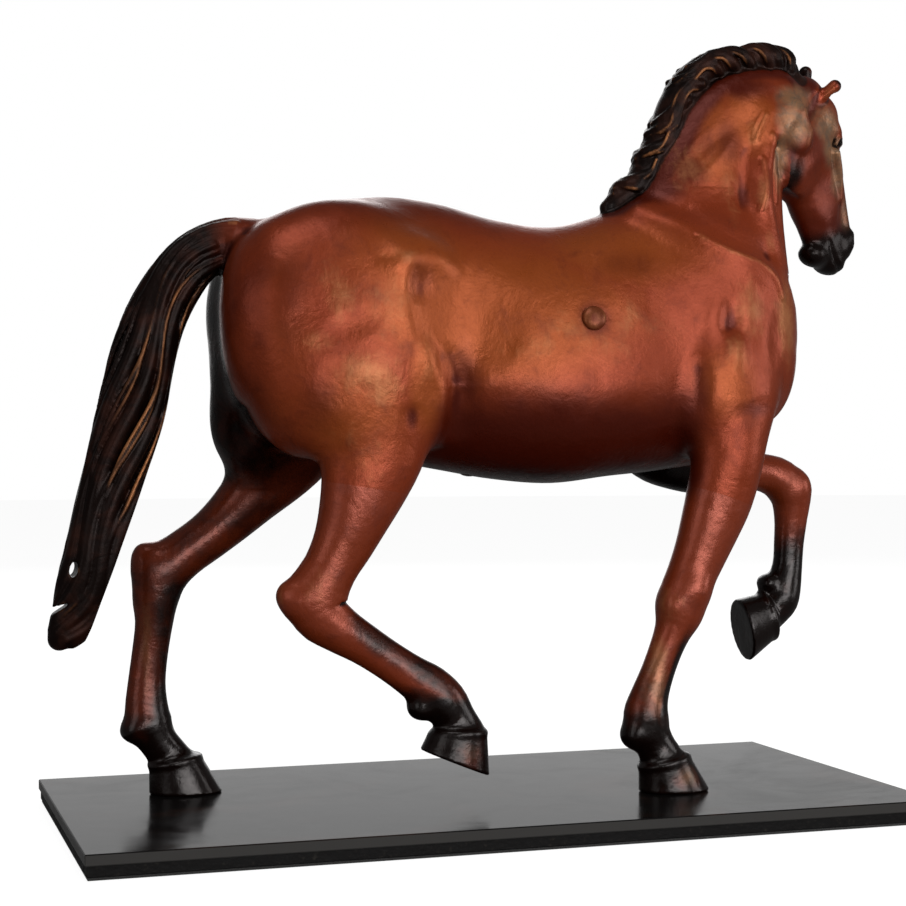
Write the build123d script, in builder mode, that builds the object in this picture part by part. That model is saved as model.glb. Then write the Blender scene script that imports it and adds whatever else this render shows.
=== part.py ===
"""Striding horse statuette: hollow bronze castings pinned together with Roman joints, on a two-board base.

Frame: +X towards the horse's head, +Y towards its left side, +Z up, millimetres.
The origin is the centre of the base's underside.
"""

from build123d import *
from math import atan2, cos, degrees, radians, sin, sqrt
import os

# ---------------------------------------------------------------- driving dimensions
BASE_LENGTH = 338.0
BASE_WIDTH = 170.0
FELT_THICKNESS = 1.0
UNDER_BOARD_THICKNESS = 4.2
TOP_BOARD_THICKNESS = 4.3
UNDER_BOARD_INSET = 0.8
FELT_INSET = 1.2
EDGE_CHAMFER = 0.4
BOARD_JOIN = FELT_THICKNESS + UNDER_BOARD_THICKNESS
BASE_TOP = BOARD_JOIN + TOP_BOARD_THICKNESS

SCREW_RADIUS = 1.4
SCREW_HEAD_RADIUS = 2.8
SCREW_HEAD_DEPTH = 1.4
SCREW_LENGTH = 7.0
SCREW_HOLE_CLEARANCE = 0.05
SCREW_INSET_X = 30.0
SCREW_INSET_Y = 14.0

STUD_RADIUS = 2.0
STUD_HOLE_RADIUS = 2.2
STUD_SEAT_CLEARANCE = 0.03
STUD_DEPTH_IN_HOOF = 7.0
STUD_TAIL = 0.4
NUT_ACROSS_FLATS = 7.0
NUT_THICKNESS = 2.2
WASHER_RADIUS = 4.5
WASHER_THICKNESS = 0.8
COUNTERBORE_RADIUS = 5.5
COUNTERBORE_DEPTH = 3.2

WALL = 4.0
TENON_CLEARANCE = 0.1
LEG_TENON_RADIUS = 5.0
LEG_TENON_LENGTH = 14.0
TAIL_TENON_RADIUS = 3.5
TAIL_TENON_LENGTH = 12.0
PIN_RADIUS = 1.2
PIN_CLEARANCE = 0.03
PIN_LENGTH = 15.0
TAIL_PIN_LENGTH = 9.0
TAIL_BOSS_RADIUS = 8.0
NECK_SLEEVE_LENGTH = 7.0
NECK_SLEEVE_WALL = 3.0
NECK_SLEEVE_INSET = 3.5
NECK_WALL = 5.5
NECK_PIN_LENGTH = 6.0
NECK_PIN_SPREAD = 16.0

PLUG_RADIUS = 4.5
PLUG_CLEARANCE = 0.03
PLUG_DOME = 1.2
FLANK_PLUG = (40.5, -41.8, 203.0)
FLANK_PLUG_TILT = 13.0
BELLY_PLUGS = {"rear": (0.0, 0.0, 140.0), "front": (62.0, 0.0, 140.0)}

HEAD_TURN = 28.0

# ---------------------------------------------------------------- stations of the castings
# Torso: (x, top z, bottom z, half width), from the buttocks to the breast.
TORSO = [
    (-104, 222, 178, 22),
    (-99, 236, 162, 33),
    (-88, 243, 153, 38),
    (-68, 249, 147, 42),
    (-40, 254, 145, 43),
    (-15, 252, 141, 42),
    (10, 246, 138.5, 43),
    (40, 244, 136, 44),
    (70, 251, 139.5, 42),
    (100, 250, 143, 39),
    (122, 244, 150, 36),
    (138, 230, 162, 29),
    (146, 216, 178, 18),
]

# Limbs: (x, y, z, half depth fore-and-aft, half width, direction in the XZ plane in degrees).
# Each leg's list starts inside the torso and ends at the coronet; LEG_JOINTS names the sections at the joints.
RIGHT_FORE = [
    (109, -22, 182, 19, 13, -92),
    (107, -26, 165, 18, 13, -95),
    (104.5, -29, 148, 16, 12.5, -100),
    (100.5, -30, 130, 13.6, 11.0, -108),
    (93.0, -30, 114, 11.8, 9.8, -113),
    (87.0, -30, 101, 10.6, 9.2, -112),
    (83.0, -30, 90, 11.2, 9.4, -105),
    (80.0, -30, 80, 9.2, 8.0, -107),
    (76.0, -30, 70, 6.9, 6.2, -110),
    (71.5, -30, 58, 6.6, 5.8, -110),
    (67.0, -30, 46, 7.8, 6.8, -104),
    (65.6, -30, 37, 10.2, 8.2, -84),
    (68.5, -30, 29, 9.0, 7.4, -62),
    (73.5, -30, 21.5, 11.0, 9.0, -66),
]
RIGHT_FORE_SOLE = (78.0, -30, 14.5, 11.5)
LEFT_FORE = [
    (86, 22, 156, 13, 11, -24),
    (96, 25, 150, 13, 11.5, -18),
    (107, 27, 144.5, 13, 11.5, -12),
    (119, 28, 141, 12, 11, -4),
    (138, 28, 140, 9.8, 9.2, -4),
    (152, 28, 137.5, 9.8, 8.8, -26),
    (160.5, 28, 130, 9.6, 8.6, -66),
    (161.0, 28, 118, 7.4, 6.6, -92),
    (160.0, 28, 106, 6.6, 5.8, -93),
    (159.0, 28, 97, 7.4, 6.6, -93),
    (156.5, 28, 87.5, 9.6, 7.8, -112),
    (151.5, 28, 80, 8.6, 7.2, -146),
    (147.5, 28, 75.8, 11.0, 9.0, -160),
]
LEFT_FORE_SOLE = (136.0, 28, 68.5, 13.5, 11.0, -152)
RIGHT_HIND = [
    (-66, -22, 200, 27, 16, -80),
    (-61, -26, 176, 25, 16, -82),
    (-57, -28, 155, 22.5, 15, -88),
    (-54.5, -29, 136, 18.8, 12.8, -99),
    (-58.5, -29, 120, 14.2, 10.5, -112),
    (-64.5, -29, 107, 11.4, 9.2, -106),
    (-69.5, -29, 93, 12.4, 9.2, -80),
    (-64.5, -29, 84, 10.8, 8.6, -40),
    (-54, -29, 77, 8.4, 7.0, -34),
    (-43.5, -29, 69.8, 7.6, 6.2, -35),
    (-34.5, -29, 62.5, 8.2, 6.8, -38),
    (-25.5, -29, 55.5, 10.2, 8.2, -48),
    (-18.5, -29, 48, 8.8, 7.2, -66),
    (-14.8, -29, 40, 10.8, 9.0, -88),
]
RIGHT_HIND_SOLE = (-16.8, -29, 26.6, 14.2, 11.5, -112)
LEFT_HIND = [
    (-62, 22, 196, 25, 16, -98),
    (-66, 26, 176, 24, 16, -104),
    (-72, 29, 156, 21.5, 15, -116),
    (-84, 31, 137, 17, 13.0, -132),
    (-95, 31, 124.5, 13.0, 11.2, -138),
    (-107, 31, 114, 10.6, 9.4, -138),
    (-119, 31, 103, 11.2, 9.0, -124),
    (-124.5, 31, 90, 8.8, 8.0, -99),
    (-127, 31, 75, 7.2, 6.4, -98),
    (-129, 31, 60, 7.1, 6.0, -96),
    (-129.6, 31, 48, 8.6, 7.0, -88),
    (-128.6, 31, 38.5, 10.6, 8.4, -74),
    (-122.5, 31, 29, 8.4, 7.2, -60),
    (-118.5, 31, 22.5, 11.0, 9.0, -68),
]
LEFT_HIND_SOLE = (-114.0, 31, 14.5, 11.5)
LEG_JOINTS = {"right_foreleg": 3, "left_foreleg": 3, "right_hind_leg": 3, "left_hind_leg": 4}

TAIL = [
    (-80, 0, 232, 8.5, 8.0, 178),
    (-96, 0, 235.5, 8.8, 8.0, 180),
    (-110, 0, 231, 9.6, 8.0, -148),
    (-121, 0, 219, 11.0, 9.0, -130),
    (-130, 0, 203, 11.8, 9.4, -115),
    (-136, 0, 186, 12.2, 9.6, -106),
    (-140, 0, 168, 13.2, 10.0, -104),
    (-144, 0, 151, 12.0, 9.4, -106),
    (-149, 0, 132, 12.0, 9.0, -106),
    (-154, 0, 114, 12.0, 8.4, -106),
    (-158, 0, 98, 11.2, 7.4, -110),
    (-164, 0, 84, 8.4, 6.0, -120),
    (-168, 0, 77, 4.4, 4.0, -122),
]
TAIL_JOINT = (-103.0, 0, 229.0, 160)

# Neck: (x, z, half depth, half width, direction), from the joint with the torso to the poll.
NECK = [
    (95, 208, 42.0, 27.0, 80),
    (100, 224, 44.0, 28.0, 76),
    (104, 239, 42.5, 26.0, 70),
    (107, 256, 37.5, 24.0, 70),
    (111, 274, 32.5, 21.0, 68),
    (118, 290, 26.5, 17.5, 56),
    (130, 302, 20.0, 14.5, 32),
    (145, 305, 14.0, 12.0, -2),
]
NECK_JOINT = 2
NECK_CAVITY = slice(1, 6)

# Head, in its own plane turned to the left: (forward, z, half depth, half width).
HEAD_ROOT = (147.0, 2.0)
HEAD = [
    (9, 307, 11.5, 10.0),
    (10, 295, 17.5, 12.0),
    (11, 282, 20.0, 12.5),
    (14, 269, 19.5, 11.5),
    (20, 257, 15.0, 9.5),
    (27, 247, 11.5, 8.5),
    (32, 239, 10.5, 9.0),
    (32.5, 231, 7.0, 7.0),
]
HEAD_LEAN = -74
# Ears: (forward, lateral, z) of the root and of the tip, lateral positive to the right.
EARS = {
    "right": ((12, 6.5, 302), (17.5, 14.0, 311)),
    "left": ((13, -4.5, 304), (19.5, -4.6, 320)),
}
EAR_ROOT_RADIUS = 2.8
EAR_TIP_RADIUS = 2.0

# Mane: a crest roll along the top of the neck, (x, z, radius).
MANE = [
    (67, 257, 5.0),
    (73.5, 265, 6.2),
    (80, 276, 7.0),
    (86.5, 288, 7.4),
    (93, 299, 7.4),
    (102, 309.5, 7.0),
    (113, 317, 6.5),
    (126, 319.8, 6.2),
    (140, 317.5, 5.4),
]


# ---------------------------------------------------------------- helpers
def section_plane(x, y, z, direction):
    """A section plane whose normal lies in the XZ plane at the given angle from +X, its own Y along world Y."""
    normal = (cos(radians(direction)), 0, sin(radians(direction)))
    depth_axis = (-normal[2], 0, normal[0])
    return Plane(origin=(x, y, z), x_dir=depth_axis, z_dir=normal)


def limb(stations, sole=None):
    """A lofted limb through elliptical stations; a sole adds a hoof below the last of them."""
    with BuildPart() as shape:
        for x, y, z, depth, width, direction in stations:
            with BuildSketch(section_plane(x, y, z, direction)):
                Ellipse(depth, width)
        loft()
    if sole is None:
        return shape.part
    with BuildPart() as hoof:
        x, y, z, depth, width, direction = stations[-1]
        with BuildSketch(section_plane(x, y, z, direction)):
            Ellipse(depth, width)
        if len(sole) == 4:
            sole_x, sole_y, depth, width = sole
            ground = Plane(origin=(sole_x, sole_y, BASE_TOP), x_dir=(1, 0, 0), z_dir=(0, 0, -1))
        else:
            sole_x, sole_y, sole_z, depth, width, direction = sole
            ground = section_plane(sole_x, sole_y, sole_z, direction)
        with BuildSketch(ground):
            Ellipse(depth, width)
        loft()
        add(shape.part)
    return hoof.part


def torso_loft(inset):
    """The torso's outer shape, or its cavity when inset is the wall thickness."""
    with BuildPart() as shape:
        for x, top, bottom, width in TORSO[(1 if inset else 0) : (-1 if inset else None)]:
            half_height = (top - bottom) / 2 - inset
            with BuildSketch(Plane(origin=(x, 0, (top + bottom) / 2), x_dir=(0, 1, 0), z_dir=(1, 0, 0))):
                Ellipse(width - inset, half_height)
        loft()
    return shape.part


def tenon(plane, radius, length):
    """A cylinder from the joint plane into the torso."""
    with BuildPart() as shape:
        with BuildSketch(plane):
            Circle(radius)
        extrude(amount=-length)
    return shape.part


def cross_pin(plane, offset, radius, length):
    """A cylinder along the joint plane's own Y, centred offset below the plane, on its axis."""
    centre = plane.origin - plane.z_dir * offset
    with BuildPart() as shape:
        with BuildSketch(Plane(origin=centre, x_dir=plane.x_dir, z_dir=plane.y_dir)):
            Circle(radius)
        extrude(amount=length / 2, both=True)
    return shape.part


def head_point(forward, lateral, z):
    """A point of the turned head in the model's frame."""
    turn = radians(HEAD_TURN)
    x = HEAD_ROOT[0] + forward * cos(turn) + lateral * sin(turn)
    y = HEAD_ROOT[1] + forward * sin(turn) - lateral * cos(turn)
    return Vector(x, y, z)


def head_plane(forward, z):
    """A section plane across the turned head, its normal pointing down the face."""
    turn, lean = radians(HEAD_TURN), radians(HEAD_LEAN)
    normal = (cos(lean) * cos(turn), cos(lean) * sin(turn), sin(lean))
    depth_axis = (-sin(lean) * cos(turn), -sin(lean) * sin(turn), cos(lean))
    return Plane(origin=head_point(forward, 0, z), x_dir=depth_axis, z_dir=normal)


def head_loft():
    """The head from the poll to the lips."""
    with BuildPart() as shape:
        for forward, z, depth, width in HEAD:
            with BuildSketch(head_plane(forward, z)):
                Ellipse(depth, width)
        loft()
    return shape.part


def taper(start, end, start_radius, end_radius):
    """A round taper between two points, for an ear."""
    along = end - start
    with BuildPart() as shape:
        for point, radius in ((start, start_radius), (end, end_radius)):
            with BuildSketch(Plane(origin=point, z_dir=along)):
                Circle(radius)
        loft()
    return shape.part


def mane_roll():
    """The rolled mane along the crest, lofted through circles square to the line they follow."""
    with BuildPart() as shape:
        for i, (x, z, radius) in enumerate(MANE):
            before, after = MANE[max(i - 1, 0)], MANE[min(i + 1, len(MANE) - 1)]
            direction = degrees(atan2(after[1] - before[1], after[0] - before[0]))
            with BuildSketch(section_plane(x, 0, z, direction)):
                Circle(radius)
        loft()
    return shape.part


def beyond(blank, plane, side):
    """The part of a blank on one side of a plane."""
    with BuildPart() as shape:
        add(blank)
        split(bisect_by=plane, keep=side)
    return shape.part


def elliptical_tube(plane, depth, width, length, wall=None):
    """An elliptical sleeve behind a plane, or a solid plug when no wall is given."""
    with BuildPart() as shape:
        with BuildSketch(plane):
            Ellipse(depth, width)
            if wall:
                Ellipse(depth - wall, width - wall, mode=Mode.SUBTRACT)
        extrude(amount=-length)
    return shape.part


def bored(blank, *cutters):
    """The blank with each cutter taken out."""
    with BuildPart() as shape:
        add(blank)
        for cutter in cutters:
            add(cutter, mode=Mode.SUBTRACT)
    return shape.part


def fused(*pieces):
    """The pieces joined to one part."""
    with BuildPart() as shape:
        for piece in pieces:
            add(piece)
    return shape.part


def save(part, name):
    """Labels a piece and writes its STEP file."""
    part.label = name
    export_step(part, f"parts/{name}.step")
    solids = part.solids()
    print(f"{name}: {len(solids)} solid(s), {part.volume:.0f} mm3, valid {all(s.is_valid for s in solids)}")


os.makedirs("parts", exist_ok=True)

# ---------------------------------------------------------------- base
stud_places = [(RIGHT_FORE_SOLE[0], RIGHT_FORE_SOLE[1]), (LEFT_HIND_SOLE[0], LEFT_HIND_SOLE[1])]
corner_x = BASE_LENGTH / 2 - SCREW_INSET_X
side_y = BASE_WIDTH / 2 - SCREW_INSET_Y
screw_places = [(x, y) for x in (-corner_x, 0, corner_x) for y in (-side_y, side_y)]
screw_hole = SCREW_RADIUS + SCREW_HOLE_CLEARANCE

with BuildPart() as felt_lining:
    with BuildSketch(Plane.XY):
        RectangleRounded(BASE_LENGTH - 2 * FELT_INSET, BASE_WIDTH - 2 * FELT_INSET, EDGE_CHAMFER)
    extrude(amount=FELT_THICKNESS)
save(felt_lining.part, "felt_lining")

with BuildPart() as under_board:
    with BuildSketch(Plane.XY.offset(FELT_THICKNESS)):
        Rectangle(BASE_LENGTH - 2 * UNDER_BOARD_INSET, BASE_WIDTH - 2 * UNDER_BOARD_INSET)
    extrude(amount=UNDER_BOARD_THICKNESS)
    chamfer(under_board.faces().sort_by(Axis.Z)[0].edges(), EDGE_CHAMFER)
    with Locations(under_board.faces().sort_by(Axis.Z)[0]):
        with Locations(*[(x, -y) for x, y in stud_places]):
            CounterBoreHole(STUD_HOLE_RADIUS, COUNTERBORE_RADIUS, COUNTERBORE_DEPTH)
        with Locations(*screw_places):
            CounterSinkHole(screw_hole, SCREW_HEAD_RADIUS + SCREW_HOLE_CLEARANCE)
save(under_board.part, "under_board")

with BuildPart() as top_board:
    with BuildSketch(Plane.XY.offset(BOARD_JOIN)):
        Rectangle(BASE_LENGTH, BASE_WIDTH)
    extrude(amount=TOP_BOARD_THICKNESS)
    chamfer(top_board.edges(), EDGE_CHAMFER)
    with Locations((0, 0, BOARD_JOIN)):
        with Locations(*stud_places):
            Cylinder(STUD_HOLE_RADIUS, 3 * TOP_BOARD_THICKNESS, mode=Mode.SUBTRACT)
        with Locations(*screw_places):
            blind_depth = SCREW_LENGTH - UNDER_BOARD_THICKNESS + SCREW_HOLE_CLEARANCE
            Cylinder(screw_hole, 2 * blind_depth, mode=Mode.SUBTRACT)
save(top_board.part, "top_board")

with BuildPart() as board_screws:
    with Locations(*[(x, y, FELT_THICKNESS) for x, y in screw_places]):
        Cone(
            SCREW_HEAD_RADIUS,
            SCREW_RADIUS,
            SCREW_HEAD_RADIUS - SCREW_RADIUS,
            align=(Align.CENTER, Align.CENTER, Align.MIN),
        )
        Cylinder(SCREW_RADIUS, SCREW_LENGTH, align=(Align.CENTER, Align.CENTER, Align.MIN))
save(board_screws.part, "board_screws")

# ---------------------------------------------------------------- studs, washers and nuts under the standing hooves
washer_bottom = FELT_THICKNESS + COUNTERBORE_DEPTH - WASHER_THICKNESS
nut_bottom = washer_bottom - NUT_THICKNESS
stud_bottom = nut_bottom + STUD_TAIL / 2
stud_length = BASE_TOP + STUD_DEPTH_IN_HOOF - stud_bottom

for (x, y), name in zip(stud_places, ("right_fore_hoof_stud", "left_hind_hoof_stud")):
    with BuildPart(Plane((x, y, stud_bottom))) as stud:
        Cylinder(STUD_RADIUS, stud_length, align=(Align.CENTER, Align.CENTER, Align.MIN))
        chamfer(stud.edges().group_by(Axis.Z)[-1], STUD_TAIL)
    save(stud.part, name)

with BuildPart() as stud_washers:
    with BuildSketch(Plane.XY.offset(washer_bottom)):
        with Locations(*stud_places):
            Circle(WASHER_RADIUS)
            Circle(STUD_HOLE_RADIUS, mode=Mode.SUBTRACT)
    extrude(amount=WASHER_THICKNESS)
save(stud_washers.part, "stud_washers")

with BuildPart() as stud_nuts:
    with BuildSketch(Plane.XY.offset(nut_bottom)):
        with Locations(*stud_places):
            RegularPolygon(NUT_ACROSS_FLATS / 2, 6, major_radius=False)
            Circle(STUD_RADIUS + STUD_SEAT_CLEARANCE, mode=Mode.SUBTRACT)
    extrude(amount=NUT_THICKNESS)
save(stud_nuts.part, "stud_nuts")

# ---------------------------------------------------------------- joint planes
neck_x, neck_z, neck_depth, neck_width, neck_direction = NECK[NECK_JOINT]
neck_plane = section_plane(neck_x, 0, neck_z, neck_direction)
deck_plane = neck_plane.offset(-NECK_SLEEVE_LENGTH - TENON_CLEARANCE)
tail_plane = section_plane(*TAIL_JOINT)
legs = {
    "right_foreleg": (RIGHT_FORE, RIGHT_FORE_SOLE),
    "left_foreleg": (LEFT_FORE, LEFT_FORE_SOLE),
    "right_hind_leg": (RIGHT_HIND, RIGHT_HIND_SOLE),
    "left_hind_leg": (LEFT_HIND, LEFT_HIND_SOLE),
}
leg_blanks = {name: limb(stations, sole) for name, (stations, sole) in legs.items()}
leg_planes = {}
for name, (stations, _) in legs.items():
    x, y, z, _, _, direction = stations[LEG_JOINTS[name]]
    leg_planes[name] = section_plane(x, y, z, direction)

sleeve_depth = neck_depth - NECK_SLEEVE_INSET
sleeve_width = neck_width - NECK_SLEEVE_INSET
neck_pin_y = (sleeve_width - NECK_SLEEVE_WALL / 2) * sqrt(1 - (NECK_PIN_SPREAD / sleeve_depth) ** 2)
pin_hole = PIN_RADIUS + PIN_CLEARANCE
leg_pin_place = LEG_TENON_LENGTH / 2
tail_pin_place = TAIL_TENON_LENGTH / 2


def neck_pins(radius, length):
    """Four pins along Y through the neck's sleeve, two on each side."""
    with BuildPart() as shape:
        for spread in (-NECK_PIN_SPREAD, NECK_PIN_SPREAD):
            centre = neck_plane.origin + neck_plane.x_dir * spread - neck_plane.z_dir * NECK_SLEEVE_LENGTH / 2
            for side in (-1, 1):
                with BuildSketch(Plane(origin=centre + Vector(0, side * neck_pin_y, 0), z_dir=(0, 1, 0))):
                    Circle(radius)
        extrude(amount=length / 2, both=True)
    return shape.part


# ---------------------------------------------------------------- the torso casting
torso_outer = torso_loft(0)
torso_cavity = beyond(torso_loft(WALL), deck_plane, Keep.BOTTOM)
neck_blank = limb([(x, 0, z, depth, width, direction) for x, z, depth, width, direction in NECK])


def wall_plug(radius, axis_plane):
    """A round plug through the torso's wall along a plane's normal, flush with both faces of the wall."""
    with BuildPart() as shape:
        with BuildSketch(axis_plane):
            Circle(radius)
        extrude(amount=4 * WALL, both=True)
        add(torso_outer, mode=Mode.INTERSECT)
        add(torso_cavity, mode=Mode.SUBTRACT)
    return shape.part


tilt = radians(FLANK_PLUG_TILT)
plug_planes = {"flank": Plane(origin=FLANK_PLUG, z_dir=(0, -cos(tilt), sin(tilt)))}
for name, place in BELLY_PLUGS.items():
    plug_planes[f"belly_{name}"] = Plane(origin=place, z_dir=(0, 0, -1))

with BuildPart() as tail_boss:
    add(tenon(tail_plane, TAIL_BOSS_RADIUS, TAIL_TENON_LENGTH + WALL))
    add(torso_outer, mode=Mode.INTERSECT)

with BuildPart() as torso_shell:
    add(torso_outer)
    add(neck_blank)
    for name, blank in leg_blanks.items():
        add(beyond(blank, leg_planes[name], Keep.BOTTOM))
    split(bisect_by=neck_plane, keep=Keep.BOTTOM)
    add(torso_cavity, mode=Mode.SUBTRACT)
    add(tail_boss.part)

seats = [
    elliptical_tube(
        neck_plane, sleeve_depth + TENON_CLEARANCE, sleeve_width + TENON_CLEARANCE, 2 * NECK_SLEEVE_LENGTH
    ),
    neck_pins(pin_hole, NECK_PIN_LENGTH + 2 * PIN_CLEARANCE),
    tenon(tail_plane, TAIL_TENON_RADIUS + TENON_CLEARANCE, TAIL_TENON_LENGTH + TENON_CLEARANCE),
    cross_pin(tail_plane, tail_pin_place, pin_hole, TAIL_PIN_LENGTH + 2 * PIN_CLEARANCE),
]
for plane in plug_planes.values():
    seats.append(wall_plug(PLUG_RADIUS + PLUG_CLEARANCE, plane))
for plane in leg_planes.values():
    seats.append(tenon(plane, LEG_TENON_RADIUS + TENON_CLEARANCE, LEG_TENON_LENGTH + TENON_CLEARANCE))
    seats.append(cross_pin(plane, leg_pin_place, pin_hole, PIN_LENGTH + 2 * PIN_CLEARANCE))
torso_casting = bored(torso_shell.part, *seats)
save(torso_casting, "torso_casting")

# ---------------------------------------------------------------- the neck and head casting
with BuildPart() as neck_cavity:
    for x, z, depth, width, direction in NECK[NECK_CAVITY]:
        with BuildSketch(section_plane(x, 0, z, direction)):
            Ellipse(depth - NECK_WALL, width - NECK_WALL)
    loft()
    split(bisect_by=neck_plane, keep=Keep.TOP)

with BuildPart() as neck_head_blank:
    add(beyond(neck_blank, neck_plane, Keep.TOP))
    add(head_loft())
    add(mane_roll())
    for root, tip in EARS.values():
        add(taper(head_point(*root), head_point(*tip), EAR_ROOT_RADIUS, EAR_TIP_RADIUS))
    split(bisect_by=neck_plane, keep=Keep.TOP)
    add(neck_cavity.part, mode=Mode.SUBTRACT)
    add(elliptical_tube(neck_plane, sleeve_depth, sleeve_width, NECK_SLEEVE_LENGTH, NECK_SLEEVE_WALL))
neck_head_casting = bored(neck_head_blank.part, neck_pins(pin_hole, NECK_PIN_LENGTH + 2 * PIN_CLEARANCE))
save(neck_head_casting, "neck_head_casting")
save(neck_pins(PIN_RADIUS, NECK_PIN_LENGTH), "neck_joint_pins")

# ---------------------------------------------------------------- the tail casting
tail_blank = bored(limb(TAIL), torso_outer)
tail_casting = bored(
    fused(tail_blank, tenon(tail_plane, TAIL_TENON_RADIUS, TAIL_TENON_LENGTH)),
    cross_pin(tail_plane, tail_pin_place, pin_hole, TAIL_PIN_LENGTH + 2 * PIN_CLEARANCE),
)
save(tail_casting, "tail_casting")
save(cross_pin(tail_plane, tail_pin_place, PIN_RADIUS, TAIL_PIN_LENGTH), "tail_joint_pin")

# ---------------------------------------------------------------- the leg castings
with BuildPart() as stud_bores:
    with Locations(*[(x, y, BASE_TOP) for x, y in stud_places]):
        Cylinder(
            STUD_RADIUS + STUD_SEAT_CLEARANCE,
            STUD_DEPTH_IN_HOOF + STUD_SEAT_CLEARANCE,
            align=(Align.CENTER, Align.CENTER, Align.MIN),
        )

for name, blank in leg_blanks.items():
    plane = leg_planes[name]
    leg = fused(beyond(blank, plane, Keep.TOP), tenon(plane, LEG_TENON_RADIUS, LEG_TENON_LENGTH))
    pin_seat = cross_pin(plane, leg_pin_place, pin_hole, PIN_LENGTH + 2 * PIN_CLEARANCE)
    save(bored(leg, pin_seat, stud_bores.part), f"{name}_casting")
    save(cross_pin(plane, leg_pin_place, PIN_RADIUS, PIN_LENGTH), f"{name}_joint_pin")

# ---------------------------------------------------------------- core plugs
dome_radius = (PLUG_RADIUS**2 + PLUG_DOME**2) / (2 * PLUG_DOME)
with BuildPart(plug_planes["flank"]) as flank_dome:
    with Locations((0, 0, PLUG_DOME - dome_radius)):
        Sphere(dome_radius)
    Cylinder(PLUG_RADIUS, 2 * PLUG_DOME, mode=Mode.INTERSECT)

for name, plane in plug_planes.items():
    plug = wall_plug(PLUG_RADIUS, plane)
    if name == "flank":
        plug = fused(plug, flank_dome.part)
    save(plug, f"core_plug_{name}")
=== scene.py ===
"""A striding horse in patinated bronze on a thin black base.

The castings are shaped in millimetres, as distances on a grid that muscles are joined to and hollows are
carved from. Each casting is meshed on its own grid, cut at its joint plane, painted by place and scaled to
metres.
The base's boards and the fastenings are the CAD nodes themselves with better materials.
"""

from math import atan2, cos, degrees, hypot, pi, radians, sin

import bmesh
import bpy
import numpy as np
import openvdb
from mathutils import Matrix, Vector


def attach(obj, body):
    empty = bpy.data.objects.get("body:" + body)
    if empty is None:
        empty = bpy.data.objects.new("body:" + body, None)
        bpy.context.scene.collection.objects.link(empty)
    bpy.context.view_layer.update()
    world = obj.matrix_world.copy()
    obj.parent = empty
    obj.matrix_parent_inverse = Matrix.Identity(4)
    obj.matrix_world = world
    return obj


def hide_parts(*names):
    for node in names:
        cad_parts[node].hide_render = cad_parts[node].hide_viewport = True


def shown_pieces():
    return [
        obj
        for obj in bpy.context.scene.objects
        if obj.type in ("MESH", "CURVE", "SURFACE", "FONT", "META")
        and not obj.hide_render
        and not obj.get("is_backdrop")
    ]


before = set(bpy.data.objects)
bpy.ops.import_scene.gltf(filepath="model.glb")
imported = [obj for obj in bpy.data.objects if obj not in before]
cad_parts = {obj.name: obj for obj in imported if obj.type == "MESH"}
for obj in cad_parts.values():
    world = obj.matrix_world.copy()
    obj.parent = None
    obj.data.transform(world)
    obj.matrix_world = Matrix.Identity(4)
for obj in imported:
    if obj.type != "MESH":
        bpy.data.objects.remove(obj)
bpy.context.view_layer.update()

MM = 0.001
FAR = 40.0  # the largest distance that a grid holds
SLACK = 2.5  # how far past its blend a shape still changes the grid
NOWHERE = 1e9  # farther than any point
SIDES = (1, -1)  # the horse's right, at negative Y, comes first


# ---------- distances on a grid
def soft_min(a, b, blend):
    """The smaller of two distances, rounded over a width where they meet."""
    if blend <= 0:
        return np.minimum(a, b)
    h = np.maximum(blend - np.abs(a - b), 0) / blend
    return np.minimum(a, b) - h * h * blend / 4


class Field:
    """A signed distance on a regular grid, which shapes are joined to and carved from."""

    def __init__(self, low, high, step):
        self.low, self.step = np.array(low, np.float32), step
        counts = np.ceil((np.array(high) - self.low) / step).astype(int) + 1
        self.axes = [self.low[i] + step * np.arange(counts[i], dtype=np.float32) for i in range(3)]
        self.d = np.full(counts, FAR, np.float32)

    def window(self, low, high):
        """The part of the grid that a box reaches, and its coordinates."""
        cut = tuple(slice(*np.searchsorted(axis, (a, b))) for axis, a, b in zip(self.axes, low, high))
        return cut, np.meshgrid(*[axis[s] for axis, s in zip(self.axes, cut)], indexing="ij", sparse=True)

    def change(self, box, how):
        """Replaces the distances inside a box by how(distances, coordinates)."""
        cut, coordinates = self.window(*box)
        if 0 not in self.d[cut].shape:
            self.d[cut] = how(self.d[cut], *coordinates)

    def join(self, shape, blend):
        self.change(shape.box(blend + SLACK), lambda d, *at: soft_min(d, shape(*at), blend))

    def carve(self, shape, blend):
        self.change(shape.box(blend + SLACK), lambda d, *at: -soft_min(-d, shape(*at), blend))

    def swell(self, egg, rise):
        """Moves the surface out by up to the rise inside an ellipsoid, or in if the rise is negative."""
        self.change(egg.box(0), lambda d, *at: d - rise * np.maximum(1 - egg.levels(*at)[0] ** 2, 0) ** 2)

    def score(self, line, reach, rise):
        """The same within reach of a thin tube."""
        self.change(line.box(reach), lambda d, *at: d - rise * (1 - np.clip(line(*at) / reach, 0, 1) ** 2) ** 2)

    def mesh(self):
        """Points in millimetres and quads of the surface."""
        grid = openvdb.FloatGrid(FAR)
        grid.copyFromArray(self.d)
        points, quads = grid.convertToQuads(0.0)
        return self.low + points * self.step, quads

    def at(self, points):
        """The distance at any points, by trilinear interpolation."""
        q = (points - self.low) / self.step
        i = np.clip(np.floor(q).astype(int), 0, np.array(self.d.shape) - 2)
        t = (q - i).astype(np.float32)
        total = 0
        for corner in np.ndindex(2, 2, 2):
            total = total + np.abs(1 - np.float32(corner) - t).prod(1) * self.d[tuple((i + corner).T)]
        return total

    def ridge(self, points, reach):
        """How convex the surface is at its points: above 0 on a ridge, below 0 in a crease."""
        around = sum(self.at(points + reach * s * axis) for axis in np.eye(3, dtype=np.float32) for s in SIDES)
        return (around - 6 * self.at(points)) / (reach * reach)


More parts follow.
